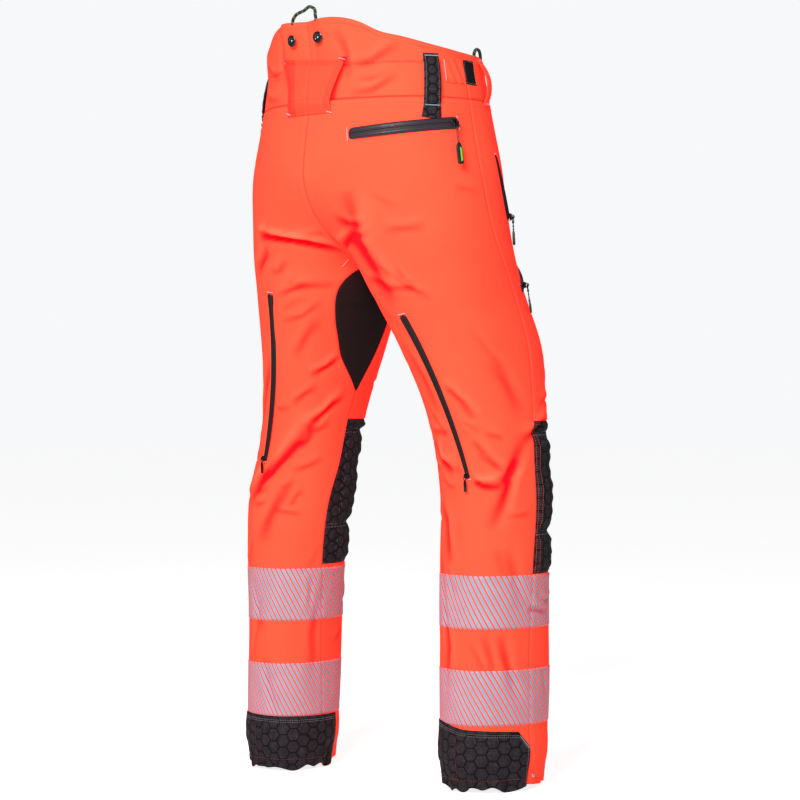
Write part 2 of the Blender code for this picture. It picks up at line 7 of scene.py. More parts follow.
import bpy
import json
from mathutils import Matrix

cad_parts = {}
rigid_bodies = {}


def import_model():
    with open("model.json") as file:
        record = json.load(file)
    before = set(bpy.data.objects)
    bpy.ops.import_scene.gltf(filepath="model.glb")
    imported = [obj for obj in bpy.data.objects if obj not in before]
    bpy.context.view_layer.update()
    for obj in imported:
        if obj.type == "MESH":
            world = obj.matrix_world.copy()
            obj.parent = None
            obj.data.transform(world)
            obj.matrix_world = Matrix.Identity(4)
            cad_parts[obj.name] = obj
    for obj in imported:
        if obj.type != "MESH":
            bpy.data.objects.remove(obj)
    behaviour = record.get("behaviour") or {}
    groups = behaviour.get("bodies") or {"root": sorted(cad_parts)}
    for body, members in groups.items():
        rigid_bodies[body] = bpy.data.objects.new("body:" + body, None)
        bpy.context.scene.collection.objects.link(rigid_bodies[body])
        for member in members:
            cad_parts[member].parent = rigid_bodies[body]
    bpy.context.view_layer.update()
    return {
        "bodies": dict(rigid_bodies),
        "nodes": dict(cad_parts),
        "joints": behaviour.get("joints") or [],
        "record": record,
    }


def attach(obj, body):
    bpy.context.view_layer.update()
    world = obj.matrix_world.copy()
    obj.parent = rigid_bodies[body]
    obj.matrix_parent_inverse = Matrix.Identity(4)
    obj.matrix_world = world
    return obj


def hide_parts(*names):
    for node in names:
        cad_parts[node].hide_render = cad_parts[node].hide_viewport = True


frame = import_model()

import json
import math
import random

import bpy
import numpy as np
from mathutils import Matrix, Vector

# ---------------------------------------------------------------- the skin, as the CAD cuts it
WAIST_ORIGIN = np.array((0.0, 0.053, 1.0))
CROTCH_HEIGHT = 0.738
SEAT_TOP = 0.86
BELT_SEAM = 0.957
KNEE_BOTTOM, KNEE_TOP = 0.3005, 0.512
LEFT, RIGHT = 1, -1
SIDES = {"left": LEFT, "right": RIGHT}
GIRTH = 0.46                        # way round the leg at the bands, for patterns
MM = 0.001
FULL_TURN = 6.283                   # radians

LEG = np.array([
    (0.00, 0.0620, 0.0765, 0.1710, 0.020, 0.031, 10),
    (0.10, 0.0645, 0.0780, 0.1710, 0.019, 0.031, 10),
    (0.22, 0.0660, 0.0795, 0.1710, 0.017, 0.030, 10),
    (0.32, 0.0700, 0.0775, 0.1710, 0.014, 0.029, 9),
    (0.40, 0.0735, 0.0745, 0.1680, 0.010, 0.028, 8),
    (0.47, 0.0740, 0.0790, 0.1580, 0.006, 0.026, 8),
    (0.54, 0.0760, 0.0930, 0.1460, 0.004, 0.024, 7),
    (0.62, 0.0870, 0.1090, 0.1270, 0.009, 0.021, 6),
    (0.70, 0.0990, 0.1220, 0.1070, 0.024, 0.017, 4),
    (0.76, 0.1035, 0.1290, 0.1055, 0.036, 0.010, 2),
    (0.86, 0.1040, 0.1330, 0.1060, 0.045, 0.000, 0),
])
LEFT_SLIM = np.array([
    (0.00, 0.96), (0.25, 0.96), (0.33, 0.99), (0.40, 1.00), (0.47, 0.94),
    (0.62, 0.93), (0.72, 0.95), (0.86, 1.00),
])
TORSO = np.array([
    (0.70, 0.204, 0.142, 0.128, 0.037),
    (0.78, 0.205, 0.150, 0.130, 0.039),
    (0.86, 0.201, 0.152, 0.130, 0.043),
    (0.93, 0.187, 0.139, 0.124, 0.047),
    (1.00, 0.173, 0.125, 0.118, 0.051),
    (1.04, 0.170, 0.129, 0.116, 0.053),
    (1.10, 0.169, 0.140, 0.115, 0.054),
])
WAIST_TOP = np.array([
    (0.00, 1.068), (0.10, 1.070), (0.16, 1.062), (0.22, 1.047), (0.28, 1.040),
    (0.36, 1.031), (0.50, 1.022), (0.62, 1.020), (1.00, 1.010),
])
SIDE_SEAM = np.array([
    (0.00, 0.530), (0.30, 0.525), (0.45, 0.535), (0.60, 0.550), (0.72, 0.550),
    (0.78, 0.515), (0.87, 0.487), (0.95, 0.495), (1.10, 0.510),
])
INSIDE_SEAM = np.array([
    (0.00, 0.025), (0.10, 0.028), (0.25, 0.040), (0.32, 0.052), (0.40, 0.045),
    (0.45, 0.018), (0.51, 0.004), (0.552, -0.005),
])
GUSSET_TIP, GUSSET_APEX = 0.552, 0.748
GUSSET_BACK = np.array([
    (0.552, -0.005), (0.606, 0.075), (0.630, 0.088), (0.656, 0.099), (0.712, 0.080), (0.748, 0.0),
])
GUSSET_FRONT = np.array([
    (0.552, -0.005), (0.608, -0.045), (0.650, -0.066), (0.700, -0.062), (0.748, 0.0),
])


def spline(table, at):
    """Smooth curve through a table's rows, whose first column is the place along it."""
    x, y = table[:, 0], table[:, 1:]
    at = np.clip(np.asarray(at, float), x[0], x[-1])
    slope = np.gradient(y, x, axis=0)
    i = np.clip(np.searchsorted(x, at, side="right") - 1, 0, len(x) - 2)
    h = (x[i + 1] - x[i])[..., None]
    t = (at - x[i])[..., None] / h
    return (
        (2 * t**3 - 3 * t**2 + 1) * y[i] + (t**3 - 2 * t**2 + t) * h * slope[i]
        + (3 * t**2 - 2 * t**3) * y[i + 1] + (t**3 - t**2) * h * slope[i + 1]
    )


def oval(angle, roundness):
    s, c = np.sin(angle), np.cos(angle)
    r = (np.abs(s) ** roundness + np.abs(c) ** roundness) ** (-1 / roundness)
    return s * r, c * r


def spread(*values):
    return np.broadcast_arrays(*(np.asarray(value, float) for value in values))


def skin(side, turn, height):
    """Points on the outside of the garment, in the hem frame."""
    turn, height = spread(turn, height)
    half_x, half_y, mid_x, mid_y, stride, toe = np.moveaxis(spline(LEG, height), -1, 0)
    if side == LEFT:
        slim = spline(LEFT_SLIM, height)[..., 0]
        half_x, half_y = half_x * slim, half_y * slim
    out, back = oval(2 * np.pi * turn - np.pi / 2, 2.15)
    out, back, toe = out * half_x, back * half_y, np.radians(toe)
    leg_x = mid_x + out * np.cos(toe) - back * np.sin(toe)
    leg_y = mid_y + side * stride + back * np.cos(toe) + out * np.sin(toe)
    half, to_back, to_front, torso_y = np.moveaxis(spline(TORSO, height), -1, 0)
    across, along = oval(np.pi * turn, 2.2)
    body_x = half * across
    body_y = torso_y + np.where(along > 0, to_back, to_front) * along
    seam = np.cos(np.pi * turn) ** 4
    low = CROTCH_HEIGHT - 0.14 * (1 - seam)
    w = np.clip((height - low) / (SEAT_TOP - low), 0, 1)
    mix = seam * np.sqrt(1 - (1 - w) ** 2) + (1 - seam) * w * w * (3 - 2 * w)
    x = leg_x + (body_x - leg_x) * mix
    y = leg_y + (body_y - leg_y) * mix
    return np.stack([side * x, y, height], -1)


def skin_out(side, turn, height):
    """Unit normals of the skin."""
    step = 0.004
    round_it = skin(side, turn + step, height) - skin(side, turn - step, height)
    up = skin(side, turn, height + step) - skin(side, turn, height - step)
    n = np.cross(round_it, up) * -side
    return n / np.linalg.norm(n, axis=-1, keepdims=True)


def side_seam(height):
    return spline(SIDE_SEAM, height)[..., 0]


def inside_seam(height):
    return spline(INSIDE_SEAM, height)[..., 0]


def back_edge(height):
    height = np.asarray(height, float)
    gusset = spline(GUSSET_BACK, height)[..., 0]
    return np.where(height < GUSSET_TIP, inside_seam(height), np.where(height < GUSSET_APEX, gusset, 0.0))


def front_edge(height):
    height = np.asarray(height, float)
    gusset = spline(GUSSET_FRONT, height)[..., 0]
    return 1 + np.where(height < GUSSET_TIP, inside_seam(height), np.where(height < GUSSET_APEX, gusset, 0.0))


def waist_top(turn):
    return spline(WAIST_TOP, turn)[..., 0]


def girth(height):
    """Length of one whole turn on one side."""
    return np.interp(height, (0.0, 0.3, 0.45, 0.6, 0.72, 0.8, 1.1), (0.435, 0.46, 0.47, 0.58, 0.68, 0.55, 0.50))


def bell(distance, width):
    return np.exp(-((distance / width) ** 2))


def smooth(low, high, value):
    t = np.clip((np.asarray(value, float) - low) / (high - low), 0, 1)
    return t * t * (3 - 2 * t)


# ---------------------------------------------------------------- folds
# Each fold: side, stops along it as (turn, height), depth of the valley in mm, its width in mm, and how
# much of that stands up again on the upper side of it. The fold fades out at both its ends.
FOLDS = (
    (LEFT, ((0.235, 0.778), (0.11, 0.767), (0.045, 0.758), (0.005, 0.752)), 7.0, 8, 0.75),
    (LEFT, ((0.30, 0.724), (0.252, 0.740), (0.205, 0.757)), 2.6, 11, 0.5),
    (LEFT, ((0.07, 0.604), (0.105, 0.589), (0.15, 0.574)), 3.2, 7, 0.6),
    (LEFT, ((0.03, 0.545), (0.07, 0.535), (0.115, 0.514), (0.15, 0.498)), 3.6, 8, 0.7),
    (LEFT, ((0.12, 0.560), (0.16, 0.549), (0.20, 0.533)), 2.0, 8, 0.5),
    (LEFT, ((0.10, 0.516), (0.165, 0.482), (0.225, 0.454), (0.285, 0.426), (0.36, 0.385)), 3.8, 13, 0.5),
    (LEFT, ((0.245, 0.462), (0.28, 0.440), (0.33, 0.412)), 2.6, 8, 0.5),
    (LEFT, ((0.18, 0.42), (0.24, 0.375), (0.28, 0.33)), 2.0, 16, 0.4),
    (LEFT, ((0.13, 0.655), (0.165, 0.634), (0.20, 0.60)), 1.6, 12, 0.4),
    (LEFT, ((0.28, 0.60), (0.33, 0.56), (0.37, 0.50)), 2.4, 14, 0.4),
    (LEFT, ((0.40, 0.47), (0.46, 0.49), (0.53, 0.50)), 3.0, 11, 0.4),
    (LEFT, ((0.38, 0.42), (0.46, 0.405), (0.53, 0.40)), 2.6, 10, 0.4),
    (LEFT, ((0.25, 0.165), (0.225, 0.120), (0.195, 0.084)), 2.2, 12, 0.5),
    (LEFT, ((0.31, 0.285), (0.28, 0.24), (0.262, 0.20)), 1.8, 12, 0.4),
    (LEFT, ((0.03, 0.29), (0.07, 0.20), (0.06, 0.12)), 1.6, 14, 0.4),
    (RIGHT, ((0.28, 0.450), (0.315, 0.433), (0.36, 0.423), (0.415, 0.422)), 5.0, 8, 0.8),
    (RIGHT, ((0.395, 0.420), (0.43, 0.436), (0.475, 0.460)), 2.6, 9, 0.4),
    (RIGHT, ((0.520, 0.494), (0.475, 0.466), (0.445, 0.438), (0.415, 0.404), (0.375, 0.362)), 3.0, 12, 0.5),
    (RIGHT, ((0.272, 0.560), (0.320, 0.553), (0.345, 0.538), (0.368, 0.512)), 2.2, 9, 0.6),
    (RIGHT, ((0.165, 0.402), (0.21, 0.374), (0.238, 0.31)), 2.6, 12, 0.4),
    (RIGHT, ((0.185, 0.485), (0.212, 0.456), (0.27, 0.441)), 3.8, 10, 0.6),
    (RIGHT, ((0.500, 0.484), (0.535, 0.494), (0.58, 0.508), (0.64, 0.518)), 3.6, 9, 0.5),
    (RIGHT, ((0.09, 0.805), (0.125, 0.766), (0.19, 0.722), (0.245, 0.672)), 3.4, 20, 0.3),
    (RIGHT, ((0.115, 0.830), (0.135, 0.790), (0.145, 0.750)), 2.0, 18, 0.3),
    (RIGHT, ((0.20, 0.62), (0.235, 0.575), (0.25, 0.52)), 1.8, 14, 0.4),
    (RIGHT, ((0.44, 0.60), (0.475, 0.555), (0.50, 0.52)), 1.6, 16, 0.4),
    (RIGHT, ((0.510, 0.252), (0.555, 0.249), (0.60, 0.247)), 3.6, 8, 0.7),
    (RIGHT, ((0.560, 0.262), (0.60, 0.262), (0.64, 0.266)), 2.6, 6, 0.8),
    (RIGHT, ((0.420, 0.222), (0.447, 0.178), (0.485, 0.124)), 2.2, 11, 0.5),
    (RIGHT, ((0.375, 0.222), (0.398, 0.186), (0.410, 0.150)), 1.4, 9, 0.5),
    (RIGHT, ((0.178, 0.330), (0.215, 0.26), (0.245, 0.20), (0.228, 0.120)), 2.4, 11, 0.4),
    (RIGHT, ((0.42, 0.34), (0.46, 0.30), (0.49, 0.25)), 1.4, 14, 0.4),
    (RIGHT, ((0.02, 0.752), (0.06, 0.758), (0.13, 0.766)), 5.0, 9, 0.5),
    # the front, which follows the usual lie of such trousers
    (LEFT, ((0.97, 0.775), (0.90, 0.795), (0.80, 0.825)), 3.4, 11, 0.5),
    (RIGHT, ((0.97, 0.775), (0.90, 0.800), (0.79, 0.835)), 3.4, 11, 0.5),
    (LEFT, ((0.96, 0.755), (0.90, 0.745), (0.82, 0.735)), 3.0, 11, 0.5),
    (RIGHT, ((0.96, 0.755), (0.89, 0.742), (0.83, 0.722)), 3.0, 11, 0.5),
    (LEFT, ((0.62, 0.56), (0.70, 0.545), (0.80, 0.55)), 2.4, 14, 0.5),
    (RIGHT, ((0.64, 0.565), (0.72, 0.55), (0.82, 0.552)), 2.4, 14, 0.5),
    (LEFT, ((0.60, 0.275), (0.68, 0.262), (0.78, 0.262)), 2.0, 12, 0.5),
    (RIGHT, ((0.66, 0.285), (0.72, 0.270), (0.82, 0.272)), 2.0, 12, 0.5),
    (LEFT, ((0.76, 0.21), (0.72, 0.16), (0.73, 0.10)), 2.0, 13, 0.4),
    (RIGHT, ((0.78, 0.215), (0.75, 0.165), (0.72, 0.11)), 2.0, 13, 0.4),
)
# Waist folds, soft pulls beside the wide loop: the same facts for the elastic back.
WAIST_FOLDS = (
    (RIGHT, ((0.115, 1.000), (0.185, 1.007), (0.275, 1.030)), 3.0, 9, 0.5),
    (RIGHT, ((0.12, 0.964), (0.185, 0.967), (0.26, 0.988)), 3.0, 8, 0.6),
    (RIGHT, ((0.13, 0.980), (0.20, 0.984), (0.25, 0.996)), 1.8, 8, 0.5),
    (RIGHT, ((0.10, 1.055), (0.12, 1.02), (0.115, 0.985)), 2.6, 9, 0.4),
    (LEFT, ((0.10, 1.055), (0.12, 1.02), (0.115, 0.985)), 2.6, 9, 0.4),
    (LEFT, ((0.12, 0.996), (0.19, 1.004), (0.27, 1.026)), 3.0, 9, 0.5),
    (LEFT, ((0.12, 0.964), (0.20, 0.970), (0.28, 0.985)), 2.6, 8, 0.5),
)


FOLD_DEPTH = 1.5


def small_folds():
    """Short wrinkles where the cloth works: behind the knees, below the seat and above the hems."""
    chance = random.Random(21)
    zones = (
        # turn from and to, height from and to, how many on each side, slope, depth, length
        (0.08, 0.50, 0.37, 0.53, 16, -0.5, 1.5, 0.050),
        (0.03, 0.30, 0.66, 0.80, 9, -0.35, 1.5, 0.060),
        (0.05, 0.48, 0.18, 0.34, 7, -1.6, 1.1, 0.060),
        (0.10, 0.45, 0.54, 0.70, 3, -1.0, 0.8, 0.070),
        (0.56, 0.95, 0.52, 0.60, 7, 0.3, 1.4, 0.050),
        (0.70, 0.98, 0.70, 0.84, 8, 0.5, 1.4, 0.055),
        (0.56, 0.98, 0.09, 0.29, 8, -1.2, 1.2, 0.050),
        (0.14, 0.46, 0.80, 0.90, 2, -0.6, 0.6, 0.070),
    )
    folds = []
    for side in (LEFT, RIGHT):
        for first, last, bottom, top, count, slope, depth, long in zones:
            for _ in range(count):
                turn, height = chance.uniform(first, last), chance.uniform(bottom, top)
                angle = math.atan(slope) + chance.gauss(0, 0.35)
                half = long * chance.uniform(0.5, 1.1) / 2
                dt, dh = half * math.cos(angle) / 0.5, half * math.sin(angle)
                bow = chance.gauss(0, 0.12) * half
                stops = ((turn - dt, height - dh), (turn, height + bow), (turn + dt, height + dh))
                folds.append((side, stops, depth * chance.uniform(0.5, 1.2), chance.uniform(6, 9),
                              chance.uniform(0.3, 0.7)))
    return tuple(folds)


def fold_height(folds, side, turn, height):
    """Millimetres that the folds add at each place."""
    total = np.zeros(np.shape(turn))
    scale = girth(height) * 1000
    for at, stops, depth, width, lip in folds:
        if at != side:
            continue
        stops = np.array(stops)
        mid_scale = girth(stops[:, 1].mean()) * 1000
        px, py = stops[:, 0] * mid_scale, stops[:, 1] * 1000
        near = (turn > stops[:, 0].min() - 0.12) & (turn < stops[:, 0].max() + 0.12)
        near &= (height > stops[:, 1].min() - 0.05) & (height < stops[:, 1].max() + 0.05)
        if not near.any():
            continue
        x = (turn[near] - stops[:, 0].mean()) * scale[near] + stops[:, 0].mean() * mid_scale
        y = height[near] * 1000
        reach = np.concatenate([[0], np.cumsum(np.hypot(np.diff(px), np.diff(py)))])
        best = np.full(x.shape, 1e9)
        signed = np.zeros(x.shape)
        share = np.zeros(x.shape)
        for k in range(len(px) - 1):
            dx, dy = px[k + 1] - px[k], py[k + 1] - py[k]
            long = math.hypot(dx, dy)
            t = np.clip(((x - px[k]) * dx + (y - py[k]) * dy) / long**2, 0, 1)
            ax, ay = x - px[k] - t * dx, y - py[k] - t * dy
            d = np.hypot(ax, ay)
            closer = d < best
            best = np.where(closer, d, best)
            upper = np.sign(ay) if abs(dx) > abs(dy) else np.sign(ax)
            signed = np.where(closer, d * upper, signed)
            share = np.where(closer, (reach[k] + t * long) / reach[-1], share)
        fade = np.sin(np.pi * np.clip(share, 0.0, 1.0)) ** 0.8
        widen = 0.62 * width * (0.75 + 0.5 * np.abs(share - 0.5) * 2)
        ridge = lip * bell(signed - 1.9 * widen, 1.3 * widen)
        total[near] += FOLD_DEPTH * depth * fade * (-bell(signed, widen) + ridge)
    return total


def waves(side, turn, height):
    """The slow unevenness of worn cloth, in millimetres."""
    u, v = turn * FULL_TURN, height * 40.0
    s = 0.0 if side == LEFT else 1.7
    slow = np.sin(2 * u + 0.21 * v + s) * np.sin(0.33 * v + 1.3 + s) * 1.1
    slow = slow + np.sin(3 * u - 0.37 * v + 2.1 * s) * 0.7 + np.sin(5 * u + 0.55 * v + 0.8 + s) * 0.35
    return slow * (0.55 + 0.45 * smooth(0.62, 0.50, height))


def hem_gather(side, turn, height):
    """Ruffles that the elastic makes at the bottom of the leg."""
    u = turn * FULL_TURN
    s = 0.0 if side == LEFT else 2.4
    fade = smooth(0.045, 0.0, height)
    ruffle = np.sin(11 * u + 2.2 * np.sin(2 * u + s) + s) * 1.5 + np.sin(19 * u + 1.6 * np.sin(3 * u) + 2 * s) * 1.1
    return fade * (1.7 * ruffle - 6.0) + 1.6 * smooth(0.03, 0.05, height) * smooth(0.085, 0.06, height)


def knee_puff(side, turn, height):
    """The knee's stretch panel: three pillows between its stitch lines, each with small pleats."""
    inside = smooth(0.0, 0.018, turn - side_seam(height)) * smooth(0.0, 0.018, front_edge(height) - turn)
    inside = inside * smooth(KNEE_BOTTOM - 0.004, KNEE_BOTTOM + 0.012, height)
    inside = inside * smooth(KNEE_TOP + 0.002, KNEE_TOP - 0.006, height)
    pillows = np.interp(height, (0.30, 0.315, 0.345, 0.359, 0.374, 0.420, 0.445, 0.475, 0.497, 0.505, 0.512),
                        (0.5, 4.0, 3.4, -3.0, 3.6, 5.6, 2.2, 4.6, -2.4, 2.4, 0.6))
    u = turn * FULL_TURN
    s = 0.0 if side == LEFT else 1.1
    pleats = np.sin(height * 330 + 1.2 * np.sin(2 * u + s)) * 1.1 * np.sin(u * 1.5 + s) ** 2
    return inside * (pillows + pleats)


SEAM_WIDTH, SEAM_ALLOWANCE, SEAM_RIDGE = 0.0014, 0.0085, 0.35


def seam_line(distance, depth=0.9):
    """Across a felled seam: a groove, and a double thickness on the positive side. Distances are in metres."""
    groove = -depth * bell(distance, SEAM_WIDTH)
    turned_in = SEAM_RIDGE * smooth(0.0, 0.0022, distance) * smooth(SEAM_ALLOWANCE + 0.0018, SEAM_ALLOWANCE, distance)
    return groove + turned_in


def seams(turn, height):
    """Millimetres that the seams add at each place."""
    scale = girth(height)
    total = seam_line((turn - side_seam(height)) * scale)
    inside = np.where(turn > 0.6, turn - 1, turn) - inside_seam(height)
    total = total + np.where(height < GUSSET_TIP, seam_line(inside * scale), 0)
    centre = np.where(turn > 0.5, 1 - turn, turn)
    total = total + np.where(height > GUSSET_APEX, seam_line(centre * scale), 0)
    gusset_back = (turn - spline(GUSSET_BACK, height)[..., 0]) * scale
    gusset_front = (1 + spline(GUSSET_FRONT, height)[..., 0] - turn) * scale
    on_gusset = (height > GUSSET_TIP) & (height < GUSSET_APEX)
    total = total + np.where(on_gusset & (turn < 0.5), seam_line(gusset_back * 0.8), 0)
    total = total + np.where(on_gusset & (turn > 0.5), seam_line(gusset_front * 0.8), 0)
    front = turn > side_seam(height)
    total = total + np.where(front, seam_line(height - KNEE_TOP) + seam_line(KNEE_BOTTOM - height), 0)
    total = total + seam_line(BELT_SEAM - height, depth=1.1)
    return total


FOLDS = FOLDS + small_folds()


def folds_at(side, turn, height):
    """Millimetres of all the folds and how far each place lies beside a zip."""
    wrapped = np.where(turn < 0, turn + 1, np.where(turn > 1, turn - 1, turn))
    leg = np.where(height < CROTCH_HEIGHT, wrapped, turn)
    total = fold_height(FOLDS, side, leg, height) + 0.5 * fold_height(WAIST_FOLDS, side, leg, height)
    total = total + fold_height(FOLDS, side, leg + 1, height) * (leg < 0.1)
    total = total + fold_height(FOLDS, side, leg - 1, height) * (leg > 0.9)
    near_middle = np.where(height > CROTCH_HEIGHT - 0.02, np.minimum(leg, 1 - leg), 0.25)
    return leg, total * smooth(0.0, 0.02, near_middle), near_middle, 1 - zip_calm(side, leg, height)


def painted_fold_light(side, turn, height):
    """From -1 at the bottom of a crease to 1 on a ridge, for painted shade in the creases and painted highlight on the
    ridges.
    """
    turn, height = spread(turn, height)
    _, total, _, calm = folds_at(side, turn, height)
    return np.clip((total * calm + 1.2 * seams(turn, height)) / 4.0, -1, 1)


def relief(side, turn, height):
    """All that stands off the skin, in metres."""
    turn, height = spread(turn, height)
    leg, total, near_middle, calm = folds_at(side, turn, height)
    total = (total + waves(side, leg, height) * smooth(0.0, 0.08, near_middle)) * calm
    total = total + knee_puff(side, leg, height) + hem_gather(side, leg, height)
    return (total + seams(leg, height)) * MM


def joined(side, turn, height):
    """The skin, with the two sides drawn together along the centre seam above the gusset."""
    points = skin(side, turn, height)
    near = smooth(0.06, 0.0, np.minimum(np.abs(turn), np.abs(1 - turn)))
    near = near * smooth(CROTCH_HEIGHT - 0.03, GUSSET_APEX + 0.004, height)
    seam = np.where(np.asarray(turn) > 0.5, 1.0, 0.0)
    here, there = skin(side, seam, height), skin(-side, seam, height)
    target = (here + there) / 2
    target[..., 0] = 0
    return points + near[..., None] * (target - here)


def surface(side, turn, height, lift=0.0):
    """The cloth's outside, in the world."""
    turn, height, lift = spread(turn, height, lift)
    out = skin_out(side, turn, height)
    at_middle = smooth(0.03, 0.0, np.minimum(np.abs(turn), np.abs(1 - turn))) * (height > CROTCH_HEIGHT)
    out[..., 0] *= 1 - at_middle
    return joined(side, turn, height) + out * (relief(side, turn, height) + lift)[..., None] - WAIST_ORIGIN


def surface_out(side, turn, height):
    """Unit normals of the cloth, folds included."""
    step = 0.0012
    wide = step / girth(height)
    round_it = surface(side, turn + wide, height) - surface(side, turn - wide, height)
    up = surface(side, turn, height + step) - surface(side, turn, height - step)
    n = np.cross(round_it, up) * -side
    return n / np.linalg.norm(n, axis=-1, keepdims=True)


# ---------------------------------------------------------------- zips, as the CAD places them
# name, side, (turn, height) of the closed end, the same of the open end, CAD tape width, slider size,
# width of the visible tape at the closed and at the open end
ZIPS = (
    ("back_pocket", RIGHT, (0.412, 0.921), (0.140, 0.907), 0.018, 1.0, 0.0175, 0.0165),
    ("hand_pocket_left", LEFT, (0.625, 0.797), (0.588, 0.878), 0.010, 0.9, 0.0105, 0.0050),
    ("hand_pocket_right", RIGHT, (0.625, 0.797), (0.588, 0.878), 0.010, 0.9, 0.0105, 0.0050),
    ("thigh_pocket", RIGHT, (0.616, 0.702), (0.700, 0.732), 0.014, 0.9, 0.0135, 0.0135),
    ("vent_left", LEFT, (0.297, 0.455), (0.250, 0.690), 0.009, 0.7, 0.0066, 0.0112),
    ("vent_right", RIGHT, (0.315, 0.437), (0.258, 0.655), 0.009, 0.7, 0.0070, 0.0118),
    ("fly", LEFT, (1.0, 0.945), (1.0, 0.830), 0.012, 0.8, 0.0110, 0.0110),
)
TAPE_THICKNESS = 0.0014
LAY_GAP = 0.0009
SLIDER_CLEARANCE = 0.0007
SLIDER = (0.0080, 0.0110, 0.0030)
BRIDGE = (0.0026, 0.0074, 0.0052)
PULL_LENGTH = {"back_pocket": 0.062, "hand_pocket_left": 0.040, "hand_pocket_right": 0.040,
               "thigh_pocket": 0.040, "vent_left": 0.022, "vent_right": 0.022}


def zip_arc(side, closed, opened):
    turns = closed[0] + (opened[0] - closed[0]) * np.array([0, 0.5, 1])
    heights = closed[1] + (opened[1] - closed[1]) * np.array([0, 0.5, 1])
    a, m, b = skin(side, turns, heights)
    across = np.cross(m - a, b - a)
    axis = across / np.linalg.norm(across)
    u = (b - a) / np.linalg.norm(b - a)
    v = np.cross(axis, u)
    mx, my, length = (m - a) @ u, (m - a) @ v, np.linalg.norm(b - a)
    centre = a + u * length / 2 + v * (mx * mx + my * my - length * mx) / (2 * my)
    spoke = a - centre
    sweep = math.acos(np.clip(spoke @ (b - centre) / (spoke @ spoke), -1, 1))
    if np.cross(spoke, b - centre) @ axis < 0:
        axis = -axis
    return centre, axis, spoke, sweep


def turn_about(spoke, axis, angle):
    """Rodrigues' rotation of a vector or a stack of them."""
    along = (spoke @ axis)[..., None] * axis if np.ndim(spoke) > 1 else (spoke @ axis) * axis
    return spoke * math.cos(angle) + np.cross(axis, spoke) * math.sin(angle) + along * (1 - math.cos(angle))


def depth_under(side, place, at, normal):
    turns, heights = np.meshgrid(at[0] + np.linspace(-0.04, 0.04, 33), at[1] + np.linspace(-0.03, 0.03, 25))
    patch = skin(side, turns, heights).reshape(-1, 3)
    aside = patch - place
    rise = aside @ normal
    aside -= rise[:, None] * normal
    return rise[np.argmin(np.linalg.norm(aside, axis=1))]


def zip_frame(side, closed, opened, width):
    centre, axis, spoke, sweep = zip_arc(side, closed, opened)
    along = np.cross(axis, spoke)
    along /= np.linalg.norm(along)
    shares = np.linspace(0, 1, 12)
    ats = [[c + (o - c) * share for c, o in zip(closed, opened)] for share in shares]
    normal = sum(turn_about(skin_out(side, *at), axis, -sweep * share) for share, at in zip(shares, ats))
    normal -= along * (normal @ along)
    normal /= np.linalg.norm(normal)
    over = np.cross(normal, along)
    lift = max(
        depth_under(side, centre + turn_about(spoke + over * s * width / 2, axis, sweep * share), at,
                    turn_about(normal, axis, sweep * share))
        for share, at in zip(shares, ats) for s in (-1, 0, 1)
    )
    return centre, axis, spoke, sweep, normal, over, lift + LAY_GAP + TAPE_THICKNESS


def zip_calm(side, turn, height):
    """1 beside a zip, where the tape keeps the cloth from folding, and 0 from 19 mm away."""
    calm = np.zeros(np.shape(turn))
    for _, at, closed, opened, *_ in ZIPS:
        if at != side:
            continue
        scale = girth((closed[1] + opened[1]) / 2)
        a = np.array((closed[0] * scale, closed[1]))
        b = np.array((opened[0] * scale, opened[1]))
        x, y = turn * scale - a[0], height - a[1]
        line = b - a
        share = np.clip((x * line[0] + y * line[1]) / (line @ line), 0, 1)
        distance = np.hypot(x - share * line[0], y - share * line[1])
        calm = np.maximum(calm, smooth(0.019, 0.008, distance))
    return calm


# ---------------------------------------------------------------- materials
WAVE = 6.2832                       # radians in one repeat of a pattern


class Value:
    """A shader value. Arithmetic on it adds Math nodes, in the order it is written."""

    def __init__(self, graph, socket):
        self.graph, self.socket = graph, socket


for word, operation in (("add", "ADD"), ("sub", "SUBTRACT"), ("mul", "MULTIPLY"), ("truediv", "DIVIDE")):
    setattr(Value, f"__{word}__", lambda self, other, o=operation: self.graph.math(o, self, other))
    setattr(Value, f"__r{word}__", lambda self, other, o=operation: self.graph.math(o, other, self))


